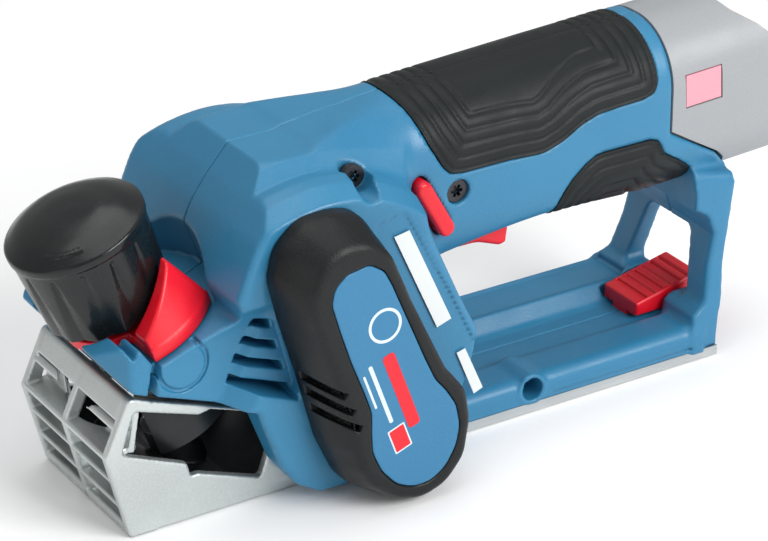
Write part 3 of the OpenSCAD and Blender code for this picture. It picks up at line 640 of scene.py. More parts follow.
# Wall that carries the belt drive
WALL = outline([
    (-121, 44, 3), (-118.3, 33.6, 6), (-111.6, 15.6, 6), (-105.7, 7.6, 4), (-97.8, 2.9, 3),
    (-60, 2.5, 2), (-43.3, 4.7, 3), (-38.4, 7.7, 2), (-25.1, 8.1, 1), (-27.6, 15.5, 4),
    (-30.8, 27.1, 8), (-33.9, 33.5, 10), (-45.6, 57, 40), (-57, 83, 40), (-64, 101, 14), (-70, 106, 6),
    (-100, 106, 12), (-118, 84, 10)])


# Dome that limits the flanks: its axis is at the motor's X and at DOME_Z, and its radius changes with the
# distance outside DOME_Y to make a rim, a valley and a bulge
DOME_Y, DOME_Z = 22, 49
DOME_OUT = [-9, 0, 1.6, 4.5, 9, 14, 20, 24]
DOME_R = [64.1, 61, 59.6, 57, 57.2, 56.3, 52.8, 49.8]
DOME_SLOPE = 1.12


def shoulder(p):
    reach = np.interp(np.abs(p[:, 1]) - DOME_Y, DOME_OUT, DOME_R)
    return (np.hypot(p[:, 0] - MOTOR[0], p[:, 2] - DOME_Z) - reach) / DOME_SLOPE


# Step in the left flank beside the knob: a point on its leaning edge, that edge's normal in the side view,
# and the height where the bevel to the upper face starts
STEP_X, STEP_Z = -126.2, 47.6
STEP_NX, STEP_NZ = 0.89, -0.456
BEVEL_Z = 66


def cheek(p):
    """Where the left flank steps in beside the knob, with a wide bevel from the lower face to the upper."""
    out = -p[:, 1] - CHEEK_Y
    behind = STEP_NX * (p[:, 0] - STEP_X) + STEP_NZ * (p[:, 2] - STEP_Z)
    above = p[:, 2] - BEVEL_Z
    return smooth_min(smooth_min(out, (out - behind) / DIAGONAL, 1.2), (out - above) / DIAGONAL, 6)


def bar(g):
    """The handle's bar grown by g, hollowed below for the fingers."""
    body = on_handle(along_x(round_rect(HANDLE_W + 2 * g, HANDLE_H + 2 * g, HANDLE_ROUND + g), -82, 112))
    return cut(body, rod_y(SCOOP_X, SCOOP_Z, SCOOP_R - g, -PAST, PAST), k=6)


# Tongue under the battery, and the rear post in side and front view with its window
TONGUE = outline([
    (-80, 135), (HANDLE_END_X, 135), (HANDLE_END_X, 84, 1.5), (69.7, 71.6, 3), (73.5, 68, 2),
    (76.2, 64, 2), (77, 58, 1), (77, 50), (-80, 40)])
POST = outline([
    (57, SOLE_T), (67, SOLE_T), (67.6, 14, 4), (69.6, 19.7, 4), (76.6, 60, 2), (76.1, 63.6, 1),
    (52, 68), (55, 56, 5), (65, 50, 5), (67.5, 43, 3), (62, 19.7, 4), (57, 16)])
POST_FRONT = outline([
    (-HALF_W, 0), (-HALF_W, 14, 4), (-25.4, 32, 8), (-24, 60, 4), (-21, 70), (21, 70), (24, 60, 4),
    (25.4, 32, 8), (HALF_W, 14, 4), (HALF_W, 0)])
WINDOW = outline([
    (-17, 20, 1.5), (-15.5, 18, 1.5), (15.5, 18, 1.5), (17, 20, 1.5), (12, 40, 2), (10, 41.5, 2),
    (-10, 41.5, 2), (-12, 40, 2)])
# Section of the base: a rounded left edge, a trough and a higher right side
BASE = outline([
    (-HALF_W, SOLE_T), (-HALF_W, 12.2, 7), (-14, 12.2, 4), (-11, 9.4, 3), (7, 9.4, 4),
    (12.5, 15.7, 2.5), (HALF_W, 15.7, 1.8), (HALF_W, SOLE_T)])
# Corner block beside the knob, from the side and from above
CORNER = outline([
    (-158, 51.9), (-153, 50), (-151, 60, 0.5), (-155.4, 66.6, 0.8), (-157, 62.4, 0.4),
    (-159.5, 66.7, 0.8), (-166.6, 62.9, 0.8)])
CORNER_PLAN = outline([(-170, -16), (-166, -24, 2), (-158, -CHEEK_Y, 4), (-148, -CHEEK_Y, 1), (-148, -16)])


def corner_block(p):
    """The block on the left and its mirror image on the right."""
    q = p.copy()
    q[:, 1] = -np.abs(p[:, 1])
    well = on_tilt(disc(24.2, 0, 80), 50)
    ring = on_tilt(disc(38, 0, 30), 50)
    shape = both(along_y(CORNER, -CHEEK_Y, -16), along_z(CORNER_PLAN, 0, 100), ring, k=0.8)
    return cut(shape, well, k=0.4)(q)


def casing_outer():
    knob_room = on_tilt(disc(LEVER_R + 0.9, 0, 90), DECK_S)
    open_front = on_tilt(block((-PAST, -PAST, 0), (4, PAST, 90)), DECK_S)
    head = both(along_y(HEAD, -WALL_Y, WALL_Y, k=2.5), lambda p: FRONT(p[:, 1], p[:, 2]), shoulder, k=0.6)
    head = cut(head, knob_room, k=0.6)
    wall = both(along_y(WALL, -WALL_Y, DRUM_LEFT, k=2.5), shoulder, k=0.6)
    head = both(union(head, wall, k=1.0), cheek, k=0.8)
    head = cut(head, open_front, k=0.5)
    ramp = below((-66, 0, 112), (-0.3, 0, 1))
    handle = both(bar(0), along_y(TONGUE, -40, 40), ramp, k=1.5)
    post = both(along_y(POST, -HALF_W, HALF_W), along_x(POST_FRONT, 50, 80), k=2)
    handle = union(handle, post, k=5)
    body = union(head, handle, k=11)
    body = union(body, along_x(BASE, -46, 60), k=4)
    body = cut(body, along_x(WINDOW, 56, 80), k=1)
    for side in (-1, 1):
        lo, hi = sorted((side * HALF_W, side * (HALF_W - FENCE_L - 1.5)))
        body = union(body, rod_y(FENCE[0], FENCE[2], FENCE_R + 1.2, lo, hi), k=1.5)
    return union(body, corner_block, k=0.5)


# Ends of the lock-off button's middle line and half its width
LOCK_A, LOCK_B = np.array([-49.5, 89.3]), np.array([-41.2, 74.3])
LOCK_HALF = 2.9


def lock_flat(u, v):
    """Flat distance to the button's slanted bar with round ends."""
    axis = LOCK_B - LOCK_A
    t = np.clip(((u - LOCK_A[0]) * axis[0] + (v - LOCK_A[1]) * axis[1]) / (axis @ axis), 0, 1)
    return np.hypot(u - LOCK_A[0] - t * axis[0], v - LOCK_A[1] - t * axis[1]) - LOCK_HALF


# Cooling slots beside the cover, the shallow panel they lie in, and the label recess on the belt wall
VENTS = [outline(points, radius=0.3) for points in (
    [(-117.8, 67.8), (-111.9, 66.2), (-111.6, 62.9), (-119.0, 65.3)],
    [(-119.8, 61.6), (-110.4, 58.4), (-109.5, 55.3), (-121.4, 59.3)],
    [(-122.9, 56.2), (-108.3, 50.7), (-107.4, 47.3), (-124.2, 53.4)],
    [(-125.4, 50.0), (-106.2, 42.3), (-105.3, 38.4), (-126.6, 47.0)])]
VENT_PANEL = outline([
    (-117.2, 68.2, 2), (-110.4, 66.2, 2), (-103, 38.2, 3), (-128.5, 48.4, 4)])
LABEL = outline([
    (-76.6, 90.3, 1), (-66.8, 92.6, 1.5), (-50.4, 61, 20), (-37.4, 33, 10), (-31, 17, 2),
    (-43.3, 10, 3), (-90, 10, 3)])
# Screws: X, Z and the half-width of the body that each is counterbored from
SCREWS = [(-34.6, 83.9, 23.0), (-77.6, 102.6, 31.0), (-68.0, 52.0, WALL_Y)]
# Ends of the teardrop that the upper counterbore runs out into
DROP_FOOT, DROP_TIP = (-76.4, -29.5, 102.8), (-81.2, -26.5, 111.4)
# Plain ring engraved beside the knob: X, Z and radius, then half its line's width, how far out its ground
# lies and its depth
ICON_X, ICON_Z, ICON_R = -140.8, 57.0, 8.2
ICON_HALF, ICON_Y, ICON_DEPTH = 0.7, 29.8, 0.8
GRIP = outline([
    (-52.4, 160), (-50.5, 115, 20), (-48.5, 112, 10), (-45.1, 102, 30), (-41, 94.4, 8),
    (-37.7, 90.9, 3), (-33, 90.1, 2), (-14, 90.1, 20), (-2.2, 89.2, 14), (5.9, 91.9, 14),
    (13.2, 96, 14), (19.6, 98, 10), (28.9, 98.6, 10), (37.3, 99, 6), (41.4, 100.2, 3), (43.2, 103.6, 4),
    (43.4, 108, 10), (42.6, 160)], 3)
LOWER_GRIP = outline([
    (2, 20), (4, 66, 10), (6.1, 73, 10), (9.3, 77.2, 10), (14.3, 81.3, 8), (18.6, 83.6, 3),
    (22, 84.1, 2), (40.3, 84.1, 3), (43.6, 83, 2), (45.3, 80.6, 2), (46.4, 77.8, 3), (53.8, 73, 10),
    (60, 68.3, 2), (60, 20)], 3)


def casing_inner():
    """Everything hollow inside the casing."""
    return [
        # Drum chamber, open below
        rod_y(CUTTER[0], CUTTER[2], CUT_R + 1.5, DRUM_LEFT, DRUM_RIGHT),
        block((CUTTER[0] - 17, DRUM_LEFT, -1), (CUTTER[0] + 17, DRUM_RIGHT, CUT_R)),
        # Chip passage under the knob
        on_tilt(disc(VANE_R + 2, 0, 43), 85),
        along_y(outline([(-140, 46), (-118, 58), (-96, 42), (-92, 20), (-110, 20)]), -26, 26),
        # Spindle bore in the deck, and the motor's chamber
        on_tilt(disc(SPINDLE_BORE_R, 0, 40), 60),
        rod_y(MOTOR[0], MOTOR[2], 20, -32, 33),
        # Handle hollow, the battery pocket, and the duct from the motor for the wires
        on_handle(along_x(round_rect(37, 43, 14), -66, 10)),
        on_handle(along_x(round_rect(40.4, 40.4, 10.4), 9, 90)),
        block((-82, -14, 74), (-52, 14, 98)),
        # Shaft bores and bearing seats of the drum and the motor
        rod_y(CUTTER[0], CUTTER[2], 7, -WALL_Y - 1, -28),
        rod_y(CUTTER[0], CUTTER[2], DRUM_SEAT_R, -40, -29),
        rod_y(MOTOR[0], MOTOR[2], MOTOR_SEAT_R, -38, 38),
        rod_y(MOTOR[0], MOTOR[2], 4, -WALL_Y - 1, -30),
        # Trigger slot, and the key holder's channel
        block((-31.2, -9, 46), (-3.2, 9, 70)),
        block((8, -4.4, 4), (88, 4.4, 8)),
        block((46, -11.4, 10.5), (96, 11.4, 21.5)),
        # Blind holes for a fence
        rod_y(FENCE[0], FENCE[2], FENCE_R, -HALF_W - 1, -HALF_W + FENCE_L),
        rod_y(FENCE[0], FENCE[2], FENCE_R, HALF_W - FENCE_L, HALF_W + 1),
        # Recess in the deck, and the pocket in the base's right side
        on_tilt(disc(6.6, 0, 3.6), 41.5),
        block((-26, 12.6, 14.9), (58, 27.8, 20), 0.4),
    ]


def seat(grip):
    return cut(along_y(grip, -PAST, PAST), bar(-GRIP_SEAT))


def casing():
    body = casing_outer()
    body = cut(body, *casing_inner())
    body = cut(body, along_y(grown_flat(lock_flat, 0.7), -PAST, PAST), k=0.5)
    for grip in (GRIP, LOWER_GRIP):
        body = cut(body, seat(grip), k=0.35)
    # Cooling slots on both sides, and the panel on the left
    body = cut(body, along_y(VENT_PANEL, -PAST, -36.6), k=0.5)
    for lo, hi in ((-PAST, -28), (28, PAST)):
        for vent in VENTS:
            body = cut(body, along_y(vent, lo, hi), k=0.2)
    for x, z, reach in SCREWS:
        body = cut(body, rod_y(x, z, 4.2, -OUTER, -reach + 3.2), k=0.4)
        body = cut(body, rod_y(x, z, 1.7, -PAST, 16))
    body = cut(body, round_cone(DROP_FOOT, DROP_TIP, 5.2, 1.5), k=0.5)
    flank = body

    def engraved(p):
        ring_wall = np.abs(np.hypot(p[:, 0] - ICON_X, p[:, 2] - ICON_Z) - ICON_R) - ICON_HALF
        return np.maximum(np.maximum(ring_wall, p[:, 1] + ICON_Y), -(flank(p) + ICON_DEPTH))
    body = cut(body, engraved)
    # Label recess, and the split line of the base's left skirt
    body = cut(body, along_y(LABEL, -PAST, -WALL_Y + 0.55), k=0.15)
    return cut(body, block((-2, -HALF_W - 1, 4.4), (56, -HALF_W + 0.5, 5.2)), k=0.1)


def slot_tool(ax, az, bx, bz, y0, y1, half):
    """Straight slot between two points of the side view."""
    start, end = np.array([ax, az]), np.array([bx, bz])
    axis = end - start
    length = np.linalg.norm(axis)
    axis = axis / length

    def flat(u, v):
        s = (u - start[0]) * axis[0] + (v - start[1]) * axis[1] - length / 2
        t = (v - start[1]) * axis[0] - (u - start[0]) * axis[1]
        return np.maximum(np.abs(s) - length / 2, np.abs(t) - half)
    return along_y(flat, y0, y1)


CASING = casing()
# Stretches of the grid along X, Y and Z that are finer, for the engraved ring, the slots and the seam
seam_left = (((-150.5, -131, 0.45), (-127.5, -104.5, 0.6)), ((-1.4, 0.4, 0.3),), ((37.5, 68.5, 0.5),))
seam_right = ((), ((-0.4, 1.4, 0.3),), ())
# Stub on the right half that carries the drum's right-hand bearing
stub = rod_y(CUTTER[0], CUTTER[2], 4.96, 17, 28)
moulded("left_housing_shell", "left_housing", "casing", "casing_blue",
        both(CASING, slab(1, -OUTER, -SEAM), k=0.5), CELL, fine=seam_left)
moulded("right_housing_shell", "right_housing", "casing", "casing_blue",
        both(union(CASING, stub), slab(1, SEAM, OUTER), k=0.5), CELL, fine=seam_right)

# ---------------- soft grips
# Contour grooves: how far inside the border each one lies, and their width and depth
GROOVES = (1.6, 5.6, 9.6, 13.6, 17.6)
GROOVE_W, GROOVE_DEPTH = 0.75, 0.55


def grip_shape(grip):
    """Soft grip in its seat: rounded edges, and shallow contour grooves that follow its border."""
    def surface(p):
        d = grip(p[:, 0], p[:, 2])
        groove = 0
        for at in GROOVES:
            groove = groove + np.exp(-((d + at) / GROOVE_W) ** 2)
        return bar(GRIP_OUT)(p) + GROOVE_DEPTH * groove
    edge = along_y(grown_flat(grip, -0.15), -PAST, PAST)
    return both(cut(surface, bar(-GRIP_BACK), k=0.5), edge, k=0.5)


for grip, name in ((GRIP, "upper_grip"), (LOWER_GRIP, "lower_grip")):
    shape = grip_shape(grip)
    for side, lo, hi in (("left", -OUTER, -SEAM), ("right", SEAM, OUTER)):
        node = name + "_" + side
        moulded(node + "_pad", node, "casing", "grip_black",
                both(shape, slab(1, lo, hi), k=0.4), PAD_CELL, fine=((), ((-1.2, 1.2, 0.3),), ()))

# ---------------- belt cover and its panel
# Foot of the cover on the casing, its smaller face, and the plate let into that face
COVER_BASE = outline([
    (-93.7, 101.5, 20), (-105.1, 100.9, 12), (-113.7, 93.6, 12), (-116.4, 83.5, 12), (-112.9, 68.7, 20),
    (-106.3, 45.8, 40), (-100.8, 24.7, 20), (-93.7, 9, 14), (-84, 2.2, 12), (-72, 0.7, 14),
    (-60.5, 3, 14), (-53.2, 12, 12), (-51.6, 25, 12), (-53.6, 36, 12), (-62, 46, 12), (-66.8, 57, 30),
    (-74, 74, 30), (-81, 91, 20), (-85.5, 99, 10)])
COVER_FACE = outline([
    (-89.3, 94.1, 12), (-97.9, 95.3, 10), (-105, 91.5, 10), (-110.1, 81.3, 10), (-109.5, 74.4, 10),
    (-104.1, 59, 40), (-95.8, 35.4, 20), (-95.2, 25.9, 10), (-93, 18, 12), (-88.7, 10.8, 12),
    (-79.7, 3.7, 12), (-71.4, 1.4, 12), (-62.6, 4.4, 12), (-55.9, 12.1, 12), (-53.7, 24.5, 12),
    (-55.3, 35.1, 12), (-62.4, 44.6, 10), (-67.6, 55.6, 30), (-75, 71.7, 30), (-82.2, 89.5, 10)])
PANEL = outline([
    (-90.1, 88.2, 4), (-98, 86.9, 4), (-102.3, 83.3, 6), (-103.4, 78.1, 6), (-100.4, 67.7, 30),
    (-96.9, 56.9, 60), (-92.7, 45.9, 60), (-89.9, 37.9, 14), (-90, 30, 10), (-89.7, 23.5, 10),
    (-86.4, 15.9, 12), (-81.2, 9.9, 10), (-75.2, 7, 12), (-68.6, 7, 12), (-63.1, 10.8, 12),
    (-59.3, 17, 12), (-57.8, 23.9, 12), (-59.3, 31.7, 10), (-63.1, 37.9, 10), (-66.9, 42.6, 10),
    (-70.6, 50.8, 30), (-76.5, 65.1, 60), (-82.3, 79.2, 20), (-85.1, 84.8, 6)])
FACE_Y, FOOT_Y = COVER_LO[1], -46
FLANK_SLOPE = 1.15
# Cooling slots across the front flank: the ends of each one's middle line, half their width and their depth
COVER_SLOTS = (((-109.6, 51.4), (-98.6, 45.5)), ((-107.2, 45.4), (-96.0, 39.2)),
               ((-104.8, 38.6), (-93.6, 33.0)))
SLOT_HALF, SLOT_DEPTH = 1.15, 1.8


def cover_solid(p):
    """Lofted between its foot on the casing and its smaller face, with a bowed flank."""
    t = np.clip((p[:, 1] - FOOT_Y) / (FACE_Y - FOOT_Y), 0, 1) ** 1.5
    flank = (COVER_BASE(p[:, 0], p[:, 2]) * (1 - t) + COVER_FACE(p[:, 0], p[:, 2]) * t) / FLANK_SLOPE
    return -smooth_min(-flank, p[:, 1] - FACE_Y, 2.2)


def cover_slots(p):
    """The blind slots, as deep everywhere however the flank leans."""
    d = np.full(len(p), 1e3)
    for a, b in COVER_SLOTS:
        d = np.minimum(d, slot_tool(*a, *b, -OUTER, -46.5, SLOT_HALF)(p))
    return np.maximum(d, -(cover_solid(p) + SLOT_DEPTH))


def belt_cover():
    body = both(cover_solid, slab(1, -80, -WALL_Y - 0.05), k=0.6)
    recess = along_y(grown_flat(PANEL, 0.25), -80, FACE_Y + 0.9)
    body = cut(body, recess, k=0.35)
    body = cut(body, cover_slots, k=0.35)
    inside = both(grown(cover_solid, -2.2), slab(1, FACE_Y + 2.4, -30))
    return cut(body, inside)


moulded("belt_cover_shell", "belt_cover", "casing", "cover_black", belt_cover(),
        SHELL_CELL, lo=COVER_LO - (3, 0, 1.5), hi=COVER_HI + (4, 0, 3),
        fine=(((-112, -91, 0.35),), (), ((31, 54, 0.35),)))
moulded("name_plate", "cover_panel", "casing", "panel_blue",
        along_y(PANEL, FACE_Y + 0.15, FACE_Y + 0.95, k=0.3), PLATE_CELL,
        lo=np.array([-106, FACE_Y - 1, 3]), hi=np.array([-55, FACE_Y + 2, 91]),
        fine=((), ((-61, -58, 0.3),), ()))


FILM_T = 0.1


def decal(name, points, y, ink, radius):
    """Thin printed film on a face that looks to the left."""
    points = filleted(points, radius)
    n = len(points)
    front = np.column_stack([points[:, 0], np.full(n, y - FILM_T), points[:, 1]])
    back = front + (0, FILM_T, 0)
    mesh = bpy.data.meshes.new(name)
    faces = [list(range(n)), list(range(2 * n - 1, n - 1, -1))]
    faces += [(i, (i + 1) % n, n + (i + 1) % n, n + i) for i in range(n)]
    mesh.from_pydata(np.vstack([front, back]) * MM, [], faces)
    mesh.materials.append(PRINT[ink])
    made = in_scene(name, mesh)
    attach(made, "casing")
    return made


def along_cover(u, v):
    """A point u down the name-plate's length and v across it, in the side view."""
    down = np.array([CUTTER[0] - MOTOR[0], CUTTER[2] - MOTOR[2]])
    down /= np.linalg.norm(down)
    return tuple(np.array([MOTOR[0], MOTOR[2]]) + u * down + v * np.array([-down[1], down[0]]))


def band(u0, u1, v0, v1):
    return [along_cover(u, v) for u, v in ((u0, v0), (u1, v0), (u1, v1), (u0, v1))]


def ring(centre, outer, inner, steps=40):
    """Closed strip drawn as an outline with a hair-thin split."""
    turn = [2 * math.pi * i / steps for i in range(steps + 1)]
    out = [(centre[0] + outer * math.cos(t), centre[1] + outer * math.sin(t)) for t in turn]
    return out + [(centre[0] + inner * math.cos(t), centre[1] + inner * math.sin(t)) for t in turn[::-1]]


PRINT = {"print_red": material("print_red", (0.72, 0.004, 0.016), roughness=0.3, mottle=0.05),
         "print_pale": material("print_pale", (0.62, 0.72, 0.76), roughness=0.35, mottle=0.05)}
# The prints lie on the plate, and the red block a little higher than its pale rim
plate_y = FACE_Y + 0.16
for name, points, ink, radius in (
        ("print_bar_long", band(23, 52, -1.0, 3.4), "print_red", 1.2),
        ("print_line_a", band(23, 46, -6.3, -4.9), "print_pale", 0.6),
        ("print_line_b", band(25, 38, -9.0, -8.2), "print_pale", 0.35),
        ("print_block_rim", band(48.4, 57.6, -8.2, -1.8), "print_pale", 0.4),
        ("print_ring", ring((-85, 66.5), 5.9, 4.9), "print_pale", 0),
        ("print_block", band(48.9, 57.1, -7.7, -2.3), "print_red", 0.3)):
    made = decal(name, points, plate_y - (0.05 if name == "print_block" else 0), ink, radius)

# ---------------- depth knob
KNOB_R = 22.65
FLUTES, FLUTE_DEPTH = 14, 0.8
# Short raised mark on the crown: radius and angle, then half its width and length, and its height
MARK_R, MARK_ANGLE = 18.6, -2.2
MARK_HALF, MARK_REACH, MARK_DEPTH = 0.45, 6, 0.28
# Half of the knob's section, as radius and height over its rim
KNOB = outline([
    (0, -30.9), (18.6, -30.9, 0.5), (20.4, -30.9, 0.7), (21.9, -6.0, 1), (22.1, -3.4, 0.5),
    (KNOB_R, -2.9, 0.8), (KNOB_R, -0.6, 1.0), (17, 3.0, 20), (9, 4.7, 30), (0, 5.0)], step=0.25)


def knob(p):
    """Turned profile with shallow flutes that widen down the skirt, and a short mark by the rim."""
    r = np.hypot(p[:, 0], p[:, 1])
    angle = np.arctan2(p[:, 1], p[:, 0])
    d = KNOB(r, p[:, 2])
    a = np.abs((angle * FLUTES / (2 * math.pi)) % 1 - 0.5)
    down = np.clip((-p[:, 2] - 5) / 25, 0, 1)
    depth = FLUTE_DEPTH * np.clip(1 - a / (0.08 + 0.4 * down), 0, 1) * (down > 0)
    side = np.clip((r - 17) / 2, 0, 1)
    d = d + depth * side
    mark = np.maximum(np.abs(r - MARK_R) - MARK_HALF, np.abs(angle - MARK_ANGLE) * 18 - MARK_REACH)
    d = d - MARK_DEPTH * np.clip(1 - mark / 0.3, 0, 1) * (p[:, 2] > 0)
    hollow = -smooth_min(-(r - 17.9), -(np.maximum(p[:, 2] + 5, -p[:, 2] - 60)), 1.0)
    boss = np.maximum(r - 8, p[:, 2] + 4)
    return -np.minimum(-d, np.maximum(hollow, -boss))


knob_body = cut(on_tilt(knob, 0), on_tilt(disc(4.0, -60, -7), 0))
moulded("depth_knob_body", "depth_knob", "adjuster", "knob_black", knob_body, KNOB_CELL)

# ---------------- chip lever
# Side view of the tab, the face that it ends at, and the flank that it stays inside: heights and radii
LEVER_SIDE = outline([(-3, 1), (-3, 7.5, 0.8), (16.3, 21.4, 1.2), (24.1, 3.4, 1.5), (24.1, 0), (-3, 0)])
LEVER_END = below((0, 0, 0), (0.629, 0.777, 0))
LEVER_Z, LEVER_FLANK = [0, 3, 21.4, 30], [31.2, 31.2, 25.6, 22.5]


def lever():
    """Disc under the knob with a wedge-shaped finger tab that hugs the knob's skirt."""
    hub = cut(disc(16.5, 0, 4, k=0.6), disc(10.5, -1, 10))

    def flank(p):
        return (np.hypot(p[:, 0], p[:, 1]) - np.interp(p[:, 2], LEVER_Z, LEVER_FLANK)) / 1.06
    tab = both(along_y(LEVER_SIDE, -40, -6, k=1.0), flank, k=1.0)
    tab = both(tab, lambda p: 22.6 - np.hypot(p[:, 0], p[:, 1]), LEVER_END, k=0.5)
    arm = both(along_y(LEVER_SIDE, -31, 0), slab(2, 0, 4), flank, LEVER_END)
    return union(hub, tab, arm, k=0.5)


moulded("chip_lever_body", "chip_lever", "chip_selector", "control_red",
        on_tilt(lever(), DECK_S - 0.4), LEVER_CELL, lo=LEVER_LO - 8, hi=LEVER_HI + 8)

# ---------------- front shoe
# Side views of the shoe, its chip window and its floor with the ramp
SHOE = outline([
    (-159, 0, 1.5), (-166.2, 29.4, 2.5), (-157.4, 48.3, 2), (-104.4, 28.2, 2), (-98.1, 19.8, 2),
    (-92, 8, 3), (-83, 0, 0.4)])
SHOE_WINDOW = outline([
    (-155.9, 43.4, 1.5), (-133.7, 35.8, 1), (-129.7, 36.6, 1), (-105.4, 27.7, 1.2), (-112.5, 7.1, 1.2),
    (-134.5, 15.3, 1), (-137.2, 15.2, 1), (-138.4, 20, 1), (-160.5, 29.5, 1.5)])
FLOOR = outline([
    (-159, 0), (-160, 4, 1), (-147, 4, 3), (-140, 12, 3), (-133, 7.5, 3), (-118, 4, 3), (-92, 4, 1),
    (-83, 0)])


def front_shoe():
    outer = along_y(SHOE, -HALF_W, HALF_W, k=1.2)
    walls = both(outer, lambda p: 26.5 - np.abs(p[:, 1]))
    walls = cut(walls, along_y(SHOE_WINDOW, -PAST, PAST), k=0.5)
    parts = [walls, both(along_y(FLOOR, -HALF_W, HALF_W), outer)]
    # Space cut back round the chip vane. With the shoe at its highest the two still touch.
    swing = on_tilt(disc(25.0, 0, 60), 80)

    def strip(y, depth, rear, k):
        """Upright strip of the grille that follows the shoe's outline as far back as rear."""
        return both(along_y(SHOE, y - 1.3, y + 1.3, k=k), lambda p: -(SHOE(p[:, 0], p[:, 2]) + depth),
                    below((rear, 0, 0), (1, 0, 0)))
    parts.append(strip(0, 4.5, -140, 0.5))
    for z in (10.5, 20, 29.2, 38):
        fin = outline([(-168, z - 0.9), (-155, z + 0.4), (-155, z + 2), (-168, z + 0.9)])
        parts.append(cut(both(along_y(fin, -28, 28), outer, k=0.4), swing))
    top = outline([(-157.4, 48.3), (-161.5, 40.5), (-156, 40.5), (-154.4, 47)])
    parts.append(both(along_y(top, -28, 28), outer, k=0.4))
    for y in (-28.2, 28.2):
        parts.append(strip(y, 3.5, -150, 0.4))
    back = outline([(-158, 29), (-156, 29), (-153.4, 43), (-155.4, 43)])
    parts.append(cut(along_y(back, -28.5, 28.5), swing))
    # Boss that the spindle screws into
    parts.append(both(on_tilt(disc(8, 0, 19), 99), along_y(SHOE, -20, 20)))
    body = union(*parts, k=0.25)
    body = cut(body, on_tilt(disc(SPINDLE_BORE_R, 0, 40), 104))
    # Room for the drum at both ends of the travel
    for d in (0, SHOE_TRAVEL):
        x, z = CUTTER[0] + d * math.sin(TILT), CUTTER[2] - d * math.cos(TILT)
        body = cut(body, rod_y(x, z, CUT_R + 1.1, -50, 50))

    def groove(p):
        """V groove in the underside, for breaking edges."""
        return (np.abs(p[:, 1]) + p[:, 2] - 2.7) / DIAGONAL
    return cut(body, both(groove, slab(0, -190, -100)))


shoe_piece = moulded("front_shoe_casting", "front_shoe", "shoe", "cast_aluminium", front_shoe(), SHELL_CELL)


def darken_inside(made, inside):
    """Gives the faces whose middle is inside a shape the matt black of the chip channel."""
    count = len(made.data.polygons)
    middles = np.empty(count * 3, np.float32)
    made.data.polygons.foreach_get("center", middles)
    made.data.materials.append(MATERIALS["inner_black"])
    dark = inside(middles.reshape(-1, 3) / MM) < 0
    made.data.polygons.foreach_set("material_index", dark.astype(np.int32))
    made.data.update()


darken_inside(shoe_piece, both(along_y(grown_flat(SHOE, -2.2), -26.9, 26.9),
                               below((-153.5, 0, 20), (-1, 0, -0.2))))

# ---------------- controls
lock = along_y(lock_flat, 17, 27.2, k=1.6)
moulded("lock_button_left_cap", "lock_button_left", "lock_off", "control_red", mirrored(lock), SMALL_CELL)
moulded("lock_button_right_cap", "lock_button_right", "lock_off", "control_red", lock, SMALL_CELL)

TRIGGER = outline([
    (-30.2, 57.4, 1), (-29, 55.2, 1), (-17, 55, 12), (-8, 51.6, 3), (-5.6, 52.4, 1), (-4.8, 58, 3),
    (-5, 68, 1), (-8, 69.5, 1), (-14, 66, 1), (-24, 66.5, 1), (-30.2, 62, 1)])
pin_hole = rod_y(-26.6, 61.6, 1.55, -20, 20)
spring_pocket = rod((-17.5, 0, 60), (-17.5, 0, 80), 2.6)
trigger = cut(along_y(TRIGGER, -8, 8, k=2.2), pin_hole, spring_pocket)
moulded("trigger_lever", "trigger", "switch_trigger", "control_red", trigger, SMALL_CELL)

# Hex-key holder: a wedge with gripping grooves, the first one's place and the step to the next
WEDGE = outline([(47, 10.8), (47, 15.8, 0.5), (73, 21.4, 0.8), (74, 20.6, 0.5), (74, 10.8)])
GROOVE_X, GROOVE_Z = 51.6, 16.9
GROOVE_DX, GROOVE_DZ = 3.5, 0.755
WEDGE_SLOPE = math.radians(12)
holder = along_y(WEDGE, KEY_LO[1], KEY_HI[1], k=1.2)
notch = block((-0.6, -8.6, -0.9), (0.6, 8.6, 3), 0.3)
for i in range(6):
    spot = Matrix.Translation((GROOVE_X + GROOVE_DX * i, 0, GROOVE_Z + GROOVE_DZ * i))
    holder = cut(holder, placed(notch, spot @ Matrix.Rotation(-WEDGE_SLOPE, 4, "Y")), k=0.4)
holder = union(holder, block((47, -4, KEY_LO[2]), (70, 4, 15)))
holder = cut(holder, rod((30, 0, 6), (61, 0, 6), 1.35))
moulded("key_holder_slide", "key_holder", "key_drawer", "control_red", holder, SMALL_CELL)

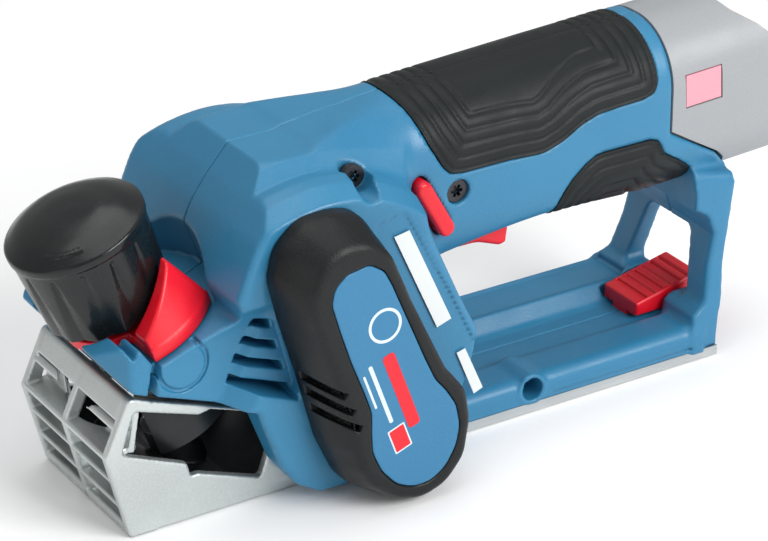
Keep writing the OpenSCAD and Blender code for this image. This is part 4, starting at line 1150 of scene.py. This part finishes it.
# ---------------- floor, light and camera
# The camera stands where the photograph was taken from, worked out from its perspective.
# Places are in metres.
CAMERA_AT = (-0.52244, -0.77034, 0.50079)
CAMERA_AXES = ((0.84994, -0.52683, -0.00659), (0.23993, 0.37589, 0.89506), (-0.46907, -0.76233, 0.44589))
CAMERA_LENS, SENSOR = 145.6, 36.0
FLOOR_HALF = 6.0
FLOOR_GAP = 0.0004
LIGHT_AIM = (-0.03, 0.0, 0.06)
# Softboxes: place, width and height in metres, and power in watts
SOFTBOXES = (("key_softbox", (0.45, -1.15, 0.85), (0.9, 0.7), 19),
             ("top_softbox", (-0.15, 0.15, 1.25), (1.3, 1.1), 8),
             ("front_fill", (-1.3, -0.5, 0.45), (0.7, 0.9), 1.5))
WORLD_STRENGTH = 0.42


def floor():
    """Seamless pale studio floor under the sole."""
    z = cad_lo[2] - FLOOR_GAP
    mesh = bpy.data.meshes.new("studio_floor")
    corners = [(-FLOOR_HALF, -FLOOR_HALF, z), (FLOOR_HALF, -FLOOR_HALF, z), (FLOOR_HALF, FLOOR_HALF, z),
               (-FLOOR_HALF, FLOOR_HALF, z)]
    mesh.from_pydata(corners, [], [(0, 1, 2, 3)])
    paper = material("studio_floor", (0.95, 0.95, 0.95), roughness=0.9, mottle=0.0, specular=0.1)
    mesh.materials.append(paper)
    made = in_scene("studio_floor", mesh)


def softbox(name, at, aim, size, watts):
    """Rectangular area light that faces a point."""
    light = bpy.data.lights.new(name, "AREA")
    light.shape, light.size, light.size_y, light.energy = "RECTANGLE", size[0], size[1], watts
    made = in_scene(name, light)
    made.location = at
    made.rotation_mode = "QUATERNION"
    made.rotation_quaternion = (Vector(aim) - Vector(at)).to_track_quat("-Z", "Y")


floor()
for name, at, size, watts in SOFTBOXES:
    softbox(name, at, LIGHT_AIM, size, watts)

world = bpy.data.worlds.new("studio")
world.use_nodes = True
put(world.node_tree.nodes["Background"], {"Color": (1, 1, 1, 1), "Strength": WORLD_STRENGTH})
bpy.context.scene.world = world
bpy.context.scene.view_settings.view_transform = "Standard"

camera = bpy.data.cameras.new("photo_camera")
camera.lens, camera.sensor_width = CAMERA_LENS, SENSOR
camera.clip_start, camera.clip_end = 0.05, 50
photo_camera = in_scene("photo_camera", camera)
axes = Matrix(CAMERA_AXES).transposed()
photo_camera.matrix_world = Matrix.Translation(CAMERA_AT) @ axes.to_4x4()
bpy.context.scene.camera = photo_camera
